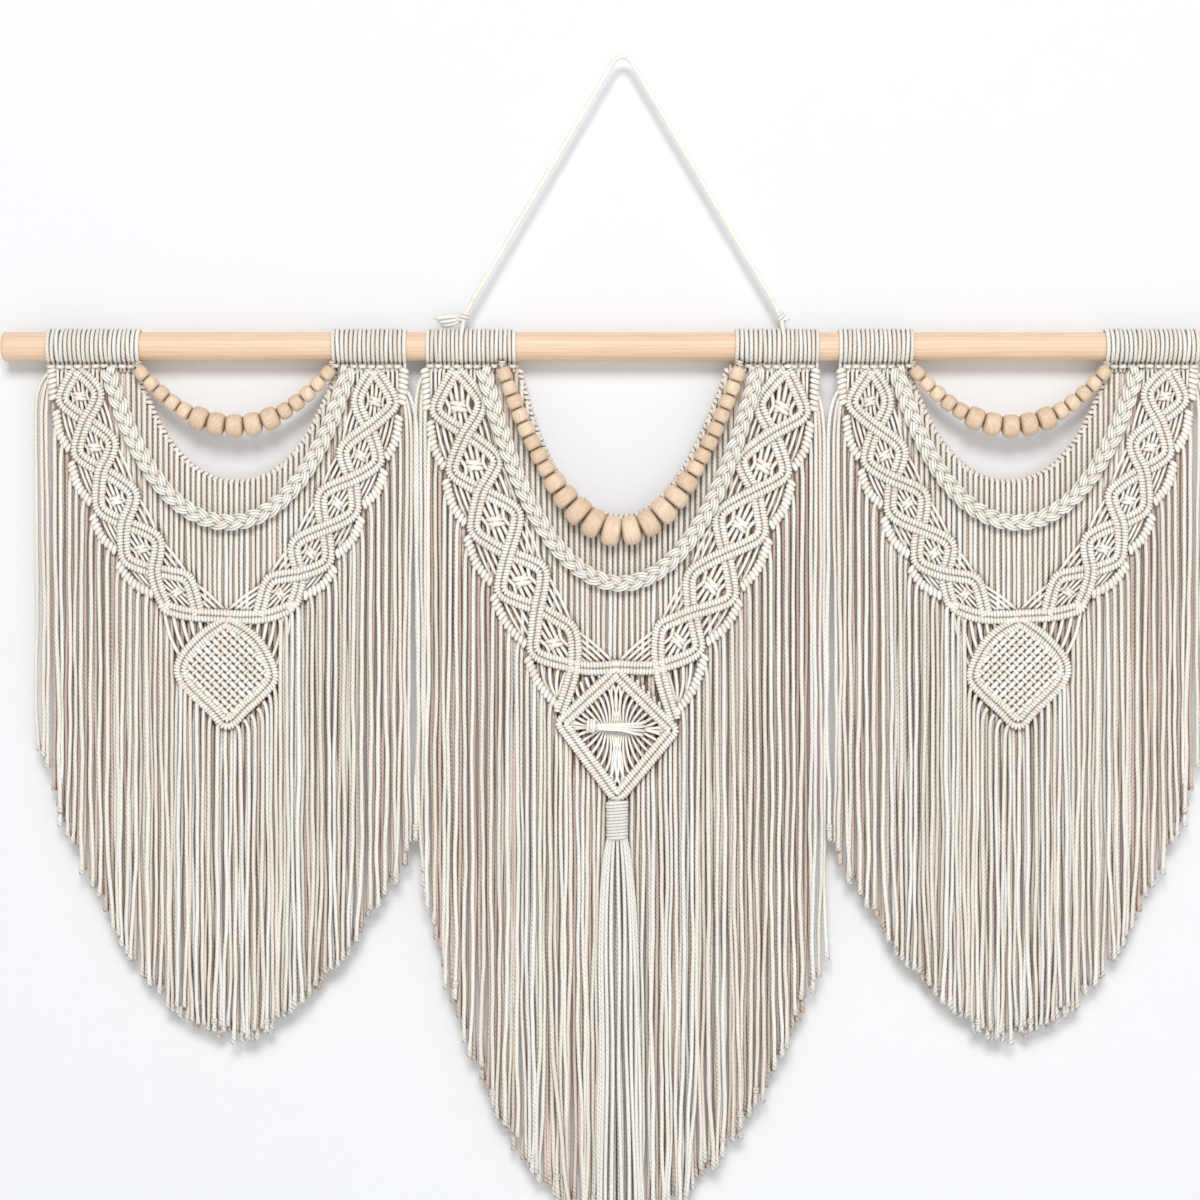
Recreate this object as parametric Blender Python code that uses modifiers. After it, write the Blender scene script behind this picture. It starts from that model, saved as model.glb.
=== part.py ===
"""Macrame wall hanging: three knotted panels, bead strings and braids on one wooden dowel.

The model is in metres, +Z up, and its front faces -Y. The origin is the point where the hanging
cord rests on its hook. Sizes below are millimetres. Places across are counted from the middle of
a panel, and heights from the axis of the dowel, so that a panel reads the same wherever it hangs.
"""

import math
from collections import namedtuple

import bmesh
import bpy
from mathutils import Matrix

MM = 0.001
WELD = 0.00001

# The dowel and the cord that it hangs by.
DOWEL_LENGTH = 1090.0
DOWEL_RADIUS = 12.7
DOWEL_CHAMFER = 1.5
DOWEL_SIDES = 16
DOWEL_DROP = 253.0
HANGER_RADIUS = 2.2
HANGER_BEND = 9.0
HANGER_KNOT_X = 136.0
HANGER_KNOT_Z = 33.0
HANGER_KNOT_SIZE = (5.5, 5.0, 6.5)
HANGER_LOOP_X = 143.0
GAP = 0.3

# The macrame cord, and the layers in which it hangs: y of the middle of each.
STRAND_RADIUS = 1.95
STRAND_HALF = 1.7
STRAND_BEND = 12.0
HEM_STAGGER = 7.0
KNOT_Y = -4.0
BACK_Y = 2.6
BRAID_Y = -12.4
SIDE_BEAD_Y = -10.5
CENTRE_BEAD_Y = -13.2
TIE_Y = -11.0
TASSEL_Y = -6.2
TOP_Z = -19.4
RIDGE_PITCH = 21.0
RIDGE_DIP = 0.8

OUTER_PITCH = 6.4
COLUMN_OUT = 9.0
COLUMN_PITCH = 5.2
DIAMOND_STRANDS = 6

# Bands are double rows of half hitches, scallops single rows. Both are flatter than wide.
BAND_RADIUS = 5.4
BAND_FLATNESS = 0.6
SCALLOP_HALF = 2.9
SCALLOP_DEPTH = 2.7
SCALLOP_OUT = 5.5
SCALLOP_DOWN = 15.0
SCALLOP_END_OUT = 6.5
SCALLOP_END_DOWN = 2.0
SCALLOP_SAG = 3.0

# The braids, the hitched cords at the panels' upper edges, and the wraps on the dowel.
BRAID_RADIUS = 6.4
BRAID_FLATNESS = 0.5
BRAID_PITCH = 24.0
BRAID_SWAY = 1.4
EDGE_HALF = 2.6
EDGE_DEPTH = 2.2
EDGE_Y = 1.6
WRAP_THICKNESS = 3.8
WRAP_RIDGE = 3.0
WRAP_PITCH = 16.5
WRAP_STEPS = 8

# The close weave in the side panels' diamonds.
WEAVE_HALF = 28.5
WEAVE_RIDGES = 3
WEAVE_BACK = -3.0
WEAVE_FRONT = -6.4
WEAVE_GROOVE = 1.6

# The tassel below the middle diamond.
TASSEL_NECK = (8.6, 5.4)
TASSEL_NECK_LENGTH = 27.0
TASSEL_FLARE = 20.0
TASSEL_STRANDS = 12

# A swag hangs between two ends. Tension bends it from a parabola, near 0, to a deep U, at 3.
Swag = namedtuple("Swag", "left right depth tension")
# One eye of a diamond chain: its middle, half its width, and the crossing under it.
Eye = namedtuple("Eye", "x z half cross_x cross_z")
# A chain: the x of its top, its eyes, and how its two bands run on under the last eye. A column of
# knots stands beside its first eye, whose strands spread to the side.
Chain = namedtuple("Chain", "side top_x eyes outer_end inner_end scallops column spread")
# The lower outline of a fringe on one side: how far out it reaches, how high it rises there.
Hem = namedtuple("Hem", "reach rise power")
# Like beads in a row on a string.
Beads = namedtuple("Beads", "count length diameter")
Panel = namedtuple(
    "Panel",
    "chains edge braid string beads wraps diamond hem_x hem_z hem_left hem_right back_strands",
)
# A row of knots with strands under it; see combs.
Row = namedtuple("Row", "stations hangs side half depth bar_y strand_y")

SMALL_BEAD = (12.9, 13.5)
LARGE_BEAD = (16.6, 20.5)
BEAD_PROFILE = ((0.0, 0.55), (0.5, 1.0))

SIDE_LEFT_CHAIN = Chain(
    side=-1,
    top_x=-136.0,
    eyes=[
        Eye(-133.0, -44.0, 16.0, -127.5, -65.0),
        Eye(-120.0, -89.0, 16.0, -113.5, -109.0),
        Eye(-101.0, -135.5, 16.0, -93.5, -155.5),
        Eye(-79.0, -178.0, 16.0, -67.5, -197.0),
        Eye(-48.0, -216.0, 14.5, -31.0, -233.5),
    ],
    outer_end=[(-58.0, -229.0), (-37.0, -236.0), (-2.5, -238.5), (26.0, -237.0)],
    inner_end=[(-29.0, -236.0)],
    scallops=4,
    column=3,
    spread=13.0,
)
SIDE_RIGHT_CHAIN = Chain(
    side=1,
    top_x=125.0,
    eyes=[
        Eye(126.5, -48.5, 16.0, 120.5, -71.5),
        Eye(113.5, -96.0, 16.0, 105.5, -117.0),
        Eye(93.5, -138.0, 16.0, 82.0, -160.0),
        Eye(70.0, -181.5, 16.0, 60.0, -200.0),
        Eye(43.0, -217.5, 14.5, 28.0, -233.5),
    ],
    outer_end=[(52.0, -229.0), (38.0, -235.0), (31.0, -240.0)],
    inner_end=[(24.0, -237.0)],
    scallops=4,
    column=1,
    spread=2.0,
)
CENTRE_LEFT_CHAIN = Chain(
    side=-1,
    top_x=-146.5,
    eyes=[
        Eye(-144.0, -53.0, 17.6, -137.5, -76.5),
        Eye(-130.0, -104.5, 17.6, -124.0, -127.0),
        Eye(-111.5, -154.0, 17.6, -100.5, -182.0),
        Eye(-88.5, -206.0, 17.6, -74.5, -230.0),
        Eye(-60.0, -260.5, 17.0, -44.5, -282.0),
    ],
    outer_end=[(-46.5, -280.5), (-4.0, -283.5), (30.0, -281.5)],
    inner_end=[(-43.0, -283.5), (-55.0, -322.0)],
    scallops=5,
    column=3,
    spread=12.0,
)
CENTRE_RIGHT_CHAIN = Chain(
    side=1,
    top_x=144.0,
    eyes=[
        Eye(141.0, -52.0, 17.6, 132.0, -76.5),
        Eye(124.5, -103.5, 17.6, 116.5, -128.0),
        Eye(103.5, -156.5, 17.6, 90.5, -182.0),
        Eye(78.0, -210.5, 17.6, 61.0, -234.0),
        Eye(49.0, -258.5, 17.0, 33.5, -281.0),
    ],
    outer_end=[(36.0, -280.0), (24.0, -284.0)],
    inner_end=[(32.5, -283.5), (45.5, -328.0)],
    scallops=5,
    column=3,
    spread=12.0,
)
SIDE_PANEL = Panel(
    chains=[SIDE_LEFT_CHAIN, SIDE_RIGHT_CHAIN],
    edge=Swag(-84.0, 92.5, 100.0, 2.2),
    braid=Swag(-108.0, 104.0, 135.5, 2.1),
    string=Swag(-82.0, 89.0, 51.0, 0.5),
    beads=[Beads(5, *SMALL_BEAD), Beads(5, *LARGE_BEAD), Beads(5, *SMALL_BEAD)],
    wraps=[(-162.0, -80.0), (88.0, 154.0)],
    diamond=[
        (-3.5, -248.0),
        (-24.5, -264.5),
        (-43.0, -281.0),
        (-31.0, -309.0),
        (-3.5, -330.0),
        (18.0, -312.0),
        (35.5, -292.0),
        (22.0, -262.0),
    ],
    hem_x=3.0,
    hem_z=-615.0,
    hem_left=Hem(172.0, 248.0, 1.9),
    hem_right=Hem(166.0, 190.0, 1.7),
    back_strands=19,
)
CENTRE_PANEL = Panel(
    chains=[CENTRE_LEFT_CHAIN, CENTRE_RIGHT_CHAIN],
    edge=Swag(-91.0, 97.0, 131.0, 3.3),
    braid=Swag(-122.0, 118.5, 189.0, 1.9),
    string=Swag(-105.5, 102.5, 146.0, 1.0),
    beads=[Beads(9, *SMALL_BEAD), Beads(8, *LARGE_BEAD), Beads(9, *SMALL_BEAD)],
    wraps=[(-172.5, -147.0), (-139.0, -93.5), (98.5, 139.0), (147.0, 172.5)],
    diamond=[(-5.5, -290.0), (-54.0, -331.0), (-4.8, -393.0), (43.6, -337.0)],
    hem_x=2.0,
    hem_z=-772.0,
    hem_left=Hem(178.0, 292.0, 2.5),
    hem_right=Hem(198.0, 285.0, 1.9),
    back_strands=25,
)
PANEL_PITCH = 343.5

WOOL = (0.86, 0.81, 0.72)
WOOD = (0.80, 0.60, 0.42)
BEAD_WOOD = (0.85, 0.68, 0.50)


def clear_scene():
    for found in list(bpy.data.objects):
        bpy.data.objects.remove(found, do_unlink=True)


def new_collection(name):
    collection = bpy.data.collections.new(name)
    bpy.context.scene.collection.children.link(collection)
    return collection


def material(name, colour, roughness):
    """A plain Principled material for one part."""
    made = bpy.data.materials.new(name)
    made.use_nodes = True
    shader = made.node_tree.nodes["Principled BSDF"]
    shader.inputs["Base Color"].default_value = (*colour, 1.0)
    shader.inputs["Roughness"].default_value = roughness
    shader.inputs["Metallic"].default_value = 0.0
    return made


def place(x, y, z):
    """A point in metres from millimetres across, back and above the dowel's axis."""
    return (x * MM, y * MM, (z - DOWEL_DROP) * MM)


def smooth(points, steps):
    """The smooth curve through the points, cut into a number of steps between each two."""
    ends = [points[0]] + list(points) + [points[-1]]
    line = [points[0]]
    for a, b, c, d in zip(ends, ends[1:], ends[2:], ends[3:]):
        for n in range(1, steps + 1):
            t = n / steps
            line.append(
                tuple(
                    q
                    + 0.5 * (r - p) * t
                    + 0.5 * (2 * p - 5 * q + 4 * r - s) * t * t
                    + 0.5 * (3 * q - p - 3 * r + s) * t**3
                    for p, q, r, s in zip(a, b, c, d)
                )
            )
    return line


def divided(line, count):
    """The line cut into a number of equal lengths: one point more than that."""
    reach = [0.0]
    for a, b in zip(line, line[1:]):
        reach.append(reach[-1] + math.dist(a, b))
    out, k = [], 0
    for n in range(count + 1):
        at = reach[-1] * n / count
        while k < len(line) - 2 and reach[k + 1] < at:
            k += 1
        share = (at - reach[k]) / (reach[k + 1] - reach[k])
        out.append(tuple(p + (q - p) * share for p, q in zip(line[k], line[k + 1])))
    return out


def spaced(line, step):
    """The line again, with points about step apart."""
    length = sum(math.dist(a, b) for a, b in zip(line, line[1:]))
    return divided(line, max(1, round(length / step)))


def tubes(name, routes, radius, sides=4):
    """One closed tube for each route, on one curve object. A route is a list of (x, y, z, swell)."""
    curve = bpy.data.curves.new(name, "CURVE")
    curve.dimensions = "3D"
    curve.bevel_depth = radius * MM
    curve.bevel_resolution = (sides - 4) // 2
    curve.use_fill_caps = True
    for route in routes:
        spline = curve.splines.new("POLY")
        spline.points.add(len(route) - 1)
        for knot, (x, y, z, swell) in zip(spline.points, route):
            knot.co = (*place(x, y, z), 1.0)
            knot.radius = swell
    made = bpy.data.objects.new(name, curve)
    bpy.context.scene.collection.objects.link(made)
    return made


def strands(name, routes):
    """Thin three-sided strands, one closed loft for each route, with an edge to the front."""
    mesh = bpy.data.meshes.new(name)
    shape = bmesh.new()
    for route in routes:
        rings = []
        for n, (x, y, z, swell) in enumerate(route):
            before, after = route[max(n - 1, 0)], route[min(n + 1, len(route) - 1)]
            along = (after[0] - before[0], after[2] - before[2])
            length = math.hypot(*along)
            reach = STRAND_RADIUS * swell
            ring = []
            for turn in (0.0, 2 * math.pi / 3, 4 * math.pi / 3):
                across, front = reach * math.sin(turn), reach * math.cos(turn)
                ring.append((x - along[1] / length * across, y - front, z + along[0] / length * across))
            rings.append([shape.verts.new(place(*corner)) for corner in ring])
        for a, b in zip(rings, rings[1:]):
            for k in range(3):
                shape.faces.new((a[k], a[k - 1], b[k - 1], b[k]))
        shape.faces.new(rings[0])
        shape.faces.new(rings[-1][::-1])
    bmesh.ops.recalc_face_normals(shape, faces=shape.faces)
    shape.to_mesh(mesh)
    shape.free()
    made = bpy.data.objects.new(name, mesh)
    bpy.context.scene.collection.objects.link(made)
    return made


def combs(name, rows, panel_x, mirror):
    """Rows of knots, each a ridged bar with a strand growing out of each length of it.

    A row's stations are places (x, z) along its bar, its hangs the places that the strands pass
    after they leave it, and its side is -1 where the strands leave to the left going down.
    """
    mesh = bpy.data.meshes.new(name)
    shape = bmesh.new()

    def corner(x, y, z):
        return shape.verts.new(place(panel_x + mirror * x, y, z))

    for row in rows:
        rings = []
        last = len(row.stations) - 1
        for n, (x, z) in enumerate(row.stations):
            before, after = row.stations[max(n - 1, 0)], row.stations[min(n + 1, last)]
            length = math.dist(before, after)
            swell = row.half * (RIDGE_DIP if n % 2 else 1.0) * -row.side / length
            mx, mz = (after[1] - before[1]) * swell, (before[0] - after[0]) * swell
            front, back = row.bar_y - row.depth, row.bar_y + row.depth
            ring = [(x - mx, front, z - mz), (x - mx, back, z - mz)]
            ring += [(x + mx, back, z + mz), (x + mx, front, z + mz)]
            rings.append([corner(*at) for at in ring])
        shape.faces.new(rings[0])
        shape.faces.new(rings[-1][::-1])
        for a, b, hang in zip(rings, rings[1:], row.hangs):
            for k in (0, 1, 3):
                shape.faces.new((a[k], a[(k + 1) % 4], b[(k + 1) % 4], b[k]))
            loop = [a[3], b[3], b[2], a[2]]
            for x, z in hang:
                near, far = x - row.side * STRAND_HALF, x + row.side * STRAND_HALF
                front, back = row.strand_y - STRAND_HALF, row.strand_y + STRAND_HALF
                ring = [(far, front), (near, front), (near, back), (far, back)]
                ring = [corner(at, y, z) for at, y in ring]
                for k in range(4):
                    shape.faces.new((loop[k - 1], loop[k], ring[k], ring[k - 1]))
                loop = ring
            shape.faces.new(loop)
    bmesh.ops.recalc_face_normals(shape, faces=shape.faces)
    shape.to_mesh(mesh)
    shape.free()
    made = bpy.data.objects.new(name, mesh)
    bpy.context.scene.collection.objects.link(made)
    return made


def as_mesh(source, flatness=1.0, middle_y=0.0):
    """The curve object made a mesh, its caps welded, flattened towards the plane y = middle_y."""
    bpy.context.view_layer.update()
    graph = bpy.context.evaluated_depsgraph_get()
    mesh = bpy.data.meshes.new_from_object(source.evaluated_get(graph))
    made = bpy.data.objects.new(source.name, mesh)
    made.matrix_world = source.matrix_world
    name = source.name
    bpy.data.objects.remove(source)
    made.name = name
    shape = bmesh.new()
    shape.from_mesh(mesh)
    bmesh.ops.remove_doubles(shape, verts=shape.verts, dist=WELD)
    for corner in shape.verts:
        corner.co.y = middle_y * MM + (corner.co.y - middle_y * MM) * flatness
    bmesh.ops.recalc_face_normals(shape, faces=shape.faces)
    shape.to_mesh(mesh)
    shape.free()
    return made


def fuse(name, pieces, finish, parts, helpers):
    """The pieces joined into one body by a Boolean union."""
    body, rest = pieces[0], pieces[1:]
    joined = bmesh.new()
    for piece in rest:
        joined.from_mesh(piece.data)
        bpy.data.objects.remove(piece)
    mesh = bpy.data.meshes.new(name + "_joined")
    joined.to_mesh(mesh)
    joined.free()
    helper = bpy.data.objects.new(name + "_joined", mesh)
    helper.hide_render = True
    helper.display_type = "WIRE"
    helpers.objects.link(helper)
    union = body.modifiers.new("union", "BOOLEAN")
    union.operation = "UNION"
    union.solver = "EXACT"
    union.use_self = True
    union.object = helper
    return finished(body, name, finish, parts)


def finished(made, name, finish, parts):
    """The object under its node name, with its material, in the collection of the parts."""
    made.name = name
    made.data.name = name
    made.data.materials.clear()
    made.data.materials.append(finish)
    for held in list(made.users_collection):
        held.objects.unlink(made)
    parts.objects.link(made)
    return made


def swag_line(swag):
    """Points close together down the middle of a swag, as (x, z)."""
    half = (swag.right - swag.left) / 2
    middle = (swag.right + swag.left) / 2
    line = []
    for n in range(-60, 61):
        u = n / 60
        share = (math.cosh(swag.tension) - math.cosh(swag.tension * u)) / (math.cosh(swag.tension) - 1)
        line.append((middle + half * u, TOP_Z - swag.depth * share))
    return line


def ridged(line, y, dip=RIDGE_DIP):
    """A route at depth y whose swell goes up and down from point to point, as rows of knots do."""
    return [(x, y, z, dip if n % 2 else 1.0) for n, (x, z) in enumerate(line)]


def band_line(chain, outer):
    """The middle line of one band of a chain. The bands swap sides at each crossing."""
    knots = [(chain.top_x, TOP_Z - 1.0)]
    last = knots[0]
    for n, eye in enumerate(chain.eyes):
        along = (eye.cross_x - last[0], eye.cross_z - last[1])
        length = math.hypot(*along)
        swing = chain.side * (1 if outer == (n % 2 == 0) else -1) * eye.half / length
        across = (-along[1] * swing, along[0] * swing)
        knots.append((eye.x + across[0], eye.z + across[1]))
        last = (eye.cross_x, eye.cross_z)
        if n < len(chain.eyes) - 1:
            knots.append(last)
    knots += chain.outer_end if outer else chain.inner_end
    return knots


def scallop_line(chain, n):
    """The outer row of knots from beside eye n to beside the next, or to the diamond's corner."""
    eye = chain.eyes[n]
    start = (eye.x + chain.side * (eye.half + SCALLOP_OUT), eye.z - SCALLOP_DOWN)
    if n + 1 < len(chain.eyes):
        below = chain.eyes[n + 1]
        end = (below.x + chain.side * (below.half + SCALLOP_END_OUT), below.z - SCALLOP_END_DOWN)
    else:
        end = (chain.inner_end[-1][0] + chain.side * 1.5, chain.inner_end[-1][1] + 6.0)
    sag = (
        (start[0] + end[0]) / 2 + chain.side * SCALLOP_SAG,
        (start[1] + end[1]) / 2 - SCALLOP_SAG,
    )
    return [start, sag, end]


def hem_z(panel, x):
    """How far down the fringe reaches at x."""
    hem = panel.hem_left if x < panel.hem_x else panel.hem_right
    share = abs(x - panel.hem_x) / hem.reach
    return panel.hem_z + hem.rise * share**hem.power


def hanging(panel, xs, zs, order):
    """The places each strand passes: the end of its bend at (x, z), and its tip at the hem."""
    out = []
    for n, (x, z) in enumerate(zip(xs, zs)):
        out.append([(x, z), (x, hem_z(panel, x) + HEM_STAGGER * ((n + order) % 3))])
    return out


def column_row(panel, chain):
    """The short upright row beside the first eye, whose strands hang outermost."""
    eye = chain.eyes[0]
    x = eye.x + chain.side * (eye.half + COLUMN_OUT)
    top, foot = (x, TOP_Z + 0.4), (x - 1.5 * chain.side, eye.z - 3.0)
    xs = [x + chain.side * (chain.spread - COLUMN_PITCH * n) for n in range(chain.column)]
    zs = [eye.z - 3.0 - 5.0 * n for n in range(chain.column)]
    stations = divided([top, foot], chain.column)
    return Row(stations, hanging(panel, xs, zs, 0), chain.side, SCALLOP_HALF, SCALLOP_DEPTH, KNOT_Y, KNOT_Y)


def scallop_row(panel, chain, n):
    start, sag, end = scallop_line(chain, n)
    count = max(2, round(abs(end[0] - start[0]) / OUTER_PITCH))
    stations = divided(smooth([start, sag, end], 6), count)
    xs = [start[0] + chain.side * 2.0 + (end[0] - start[0]) * (k + 0.5) / count for k in range(count)]
    zs = [min(a[1], b[1]) - STRAND_BEND for a, b in zip(stations, stations[1:])]
    return Row(stations, hanging(panel, xs, zs, n), chain.side, SCALLOP_HALF, SCALLOP_DEPTH, KNOT_Y, KNOT_Y)


def diamond_rows(panel):
    """The rows on the lower sides of a side panel's diamond, and the strands under them."""
    left, bottom, right = min(panel.diamond), panel.diamond[4], max(panel.diamond)
    rows = []
    for corner, side in ((left, -1), (right, 1)):
        start = (corner[0] - side * 2.0, corner[1] - 6.0)
        end = (bottom[0] + side * 4.0, bottom[1] - 1.0)
        bulge = ((start[0] + end[0]) / 2 + side * 3.5, (start[1] + end[1]) / 2 - 3.0)
        stations = divided(smooth([start, bulge, end], 6), DIAMOND_STRANDS)
        xs = [(a[0] + b[0]) / 2 + side * 2.5 for a, b in zip(stations, stations[1:])]
        zs = [min(a[1], b[1]) - STRAND_BEND for a, b in zip(stations, stations[1:])]
        rows.append(Row(stations, hanging(panel, xs, zs, 1), side, SCALLOP_HALF, SCALLOP_DEPTH, KNOT_Y, KNOT_Y))
    return rows


def eye_strands(chain):
    """A cord across each eye, thick in the middle where it is knotted."""
    out = []
    last = (chain.top_x, TOP_Z)
    for eye in chain.eyes:
        length = math.hypot(eye.cross_x - last[0], eye.cross_z - last[1])
        reach = 0.92 * eye.half / length
        ax, az = (eye.cross_z - last[1]) * reach, (last[0] - eye.cross_x) * reach
        ends = [(eye.x - ax, eye.z - az), (eye.x, eye.z), (eye.x + ax, eye.z + az)]
        out.append([(x, KNOT_Y, z, swell) for (x, z), swell in zip(ends, (1.2, 2.1, 1.2))])
        last = (eye.cross_x, eye.cross_z)
    return out


def straight(*ends, swell=1.0):
    """A straight strand between two places in the plane of the knotwork."""
    return [(x, KNOT_Y, z, swell) for x, z in ends]


def link_strands(chain):
    """Cords from the bands to the scallops beside them."""
    out = []
    for n in range(chain.scallops):
        eye = chain.eyes[n]
        start, sag, _ = scallop_line(chain, n)
        out.append(straight((eye.x + chain.side * eye.half * 0.8, eye.z - eye.half * 0.5), start[:2]))
        out.append(straight((eye.cross_x + chain.side * 2.0, eye.cross_z + 2.0), sag[:2]))
    return out


def top_strands(chain):
    """The bar of knots under the dowel, and the cords that run from it and beside the first eye."""
    eye = chain.eyes[0]
    column = eye.x + chain.side * (eye.half + COLUMN_OUT)
    foot = eye.x + chain.side * (eye.half + SCALLOP_OUT)
    out = [straight((column + chain.side, TOP_Z), (chain.top_x - chain.side * 30.0, TOP_Z), swell=1.3)]
    for reach in (-1.0, 1.0):
        x = eye.x + reach * eye.half
        out.append(straight((x, TOP_Z), (x, eye.z)))
    out.append(straight((column - chain.side, eye.z), (foot, eye.z - SCALLOP_DOWN - 1.0)))
    return out


def diamond_line(panel):
    """The closed middle line of the band round the bottom diamond."""
    around = panel.diamond + [panel.diamond[0]]
    return smooth(around, 2) if len(panel.diamond) > 4 else spaced(around, RIDGE_PITCH / 2)


def fan_strands(panel):
    """Cords that fan out from the bar above the bottom diamond onto its upper sides."""
    top, left, right = panel.diamond[0], min(panel.diamond), max(panel.diamond)
    out = []
    for corner in (left, right):
        for t in (0.35, 0.75):
            foot = (top[0] + (corner[0] - top[0]) * t, top[1] + (corner[1] - top[1]) * t)
            out.append(straight((top[0] + (foot[0] - top[0]) * 1.2, top[1] + 8.0), foot))
    return out


def weave_plate(panel, panel_x, mirror):
    """The close weave that fills a side panel's diamond, as one slanting ridged plate."""
    middle = (
        sum(x for x, z in panel.diamond) / len(panel.diamond),
        sum(z for x, z in panel.diamond) / len(panel.diamond),
    )
    mesh = bpy.data.meshes.new("weave")
    shape = bmesh.new()
    profile = [(-WEAVE_HALF, WEAVE_BACK)]
    for n in range(2 * WEAVE_RIDGES + 1):
        front = WEAVE_FRONT if n % 2 else WEAVE_FRONT + WEAVE_GROOVE
        profile.append((WEAVE_HALF * (n / WEAVE_RIDGES - 1), front))
    profile.append((WEAVE_HALF, WEAVE_BACK))
    rings = []
    for end in (-WEAVE_HALF, WEAVE_HALF):
        ring = []
        for across, y in profile:
            x = (across - end) * math.sqrt(0.5)
            z = (across + end) * math.sqrt(0.5)
            ring.append(shape.verts.new(place(panel_x + mirror * (middle[0] + x), y, middle[1] + z)))
        rings.append(ring)
    for k in range(len(profile)):
        shape.faces.new((rings[0][k], rings[0][k - 1], rings[1][k - 1], rings[1][k]))
    shape.faces.new(rings[0])
    shape.faces.new(rings[1][::-1])
    bmesh.ops.recalc_face_normals(shape, faces=shape.faces)
    shape.to_mesh(mesh)
    shape.free()
    made = bpy.data.objects.new("weave", mesh)
    bpy.context.scene.collection.objects.link(made)
    return made


def spider_strands(panel):
    """Cords gathered in the middle of the centre diamond and spread to its sides."""
    top, left, bottom, right = panel.diamond
    middle = (top[0], (left[1] + right[1]) / 2)
    out = []
    for corner in (left, right):
        for t in (0.2, 0.6):
            head = (top[0] + (corner[0] - top[0]) * t, top[1] + (corner[1] - top[1]) * t)
            foot = (bottom[0] + (corner[0] - bottom[0]) * t, bottom[1] + (corner[1] - bottom[1]) * t)
            pinch = middle[0] + (corner[0] - middle[0]) * 0.22 * t
            out.append(straight(head, (pinch, middle[1] + 5.0), (pinch, middle[1] - 5.0), foot))
    return out


def shifted(panel_x, mirror, routes):
    """The routes of a panel moved to where the panel hangs, mirrored for the right-hand one."""
    return [[(panel_x + mirror * x, y, z, swell) for x, y, z, swell in route] for route in routes]


def build_knotwork(name, panel, panel_x, mirror, finish, parts, helpers):
    """Bands, scallops, diamond and front fringe of one panel, fused at their knots."""
    bands, rows, routes = [], [], []
    for chain in panel.chains:
        bands.append(ridged(smooth(band_line(chain, True), 2), KNOT_Y - 0.25))
        bands.append(ridged(smooth(band_line(chain, False), 2), KNOT_Y + 0.25))
        rows.append(column_row(panel, chain))
        rows += [scallop_row(panel, chain, n) for n in range(chain.scallops)]
        routes += top_strands(chain) + eye_strands(chain) + link_strands(chain)
    bands.append(ridged(diamond_line(panel), KNOT_Y - 0.1))
    routes += fan_strands(panel)
    if len(panel.diamond) > 4:
        rows += diamond_rows(panel)
        extra = [weave_plate(panel, panel_x, mirror)]
    else:
        routes += spider_strands(panel)
        extra = []
    pieces = [
        as_mesh(tubes("bands", shifted(panel_x, mirror, bands), BAND_RADIUS), BAND_FLATNESS, KNOT_Y),
        combs("rows", rows, panel_x, mirror),
        strands("strands", shifted(panel_x, mirror, routes)),
    ]
    return fuse(name, pieces + extra, finish, parts, helpers)


def build_back(name, panel, panel_x, mirror, finish, parts):
    """The hitched cord along the panel's upper edge, and the strands that hang from it behind."""
    line = swag_line(panel.edge)
    width = panel.edge.right - panel.edge.left
    stations, k = [], 0
    for n in range(panel.back_strands + 1):
        x = panel.edge.left + width * n / panel.back_strands
        while k < len(line) - 2 and line[k + 1][0] < x:
            k += 1
        share = (x - line[k][0]) / (line[k + 1][0] - line[k][0])
        stations.append((x, line[k][1] + (line[k + 1][1] - line[k][1]) * share))
    xs = [(a[0] + b[0]) / 2 for a, b in zip(stations, stations[1:])]
    zs = [min(a[1], b[1]) - 8.0 for a, b in zip(stations, stations[1:])]
    row = Row(stations, hanging(panel, xs, zs, 0), -1, EDGE_HALF, EDGE_DEPTH, EDGE_Y, BACK_Y)
    return finished(combs(name, [row], panel_x, mirror), name, finish, parts)


def build_braid(name, panel, panel_x, mirror, finish, parts):
    """A three-strand braid, as a flat rope that sways from strand to strand."""
    route = []
    for n, (x, z) in enumerate(spaced(swag_line(panel.braid), BRAID_PITCH / 2)):
        sway = (0, BRAID_SWAY, 0, -BRAID_SWAY)[n % 4]
        route.append((x + sway, BRAID_Y, z, 1.0 if n % 2 else RIDGE_DIP))
    made = as_mesh(tubes(name, shifted(panel_x, mirror, [route]), BRAID_RADIUS), BRAID_FLATNESS, BRAID_Y)
    return finished(made, name, finish, parts)


def build_beads(name, panel, y, panel_x, mirror, finish, parts):
    """A string of beads, each swelling from where it meets the last to its full width."""
    line = divided(swag_line(panel.string), 1000)
    share = 1000 / sum(row.count * row.length for row in panel.beads)
    stations, at = [], 0.0
    for row in panel.beads:
        for _ in range(row.count):
            for along, swell in BEAD_PROFILE:
                stations.append((at + along * row.length, swell * row.diameter / LARGE_BEAD[1]))
            at += row.length
    stations.append((at, BEAD_PROFILE[0][1] * panel.beads[-1].diameter / LARGE_BEAD[1]))
    route = []
    for along, swell in stations:
        x, z = line[min(1000, round(along * share))]
        route.append((x, y, z, swell))
    made = as_mesh(tubes(name, shifted(panel_x, mirror, [route]), LARGE_BEAD[1] / 2, 6))
    return finished(made, name, finish, parts)


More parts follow.
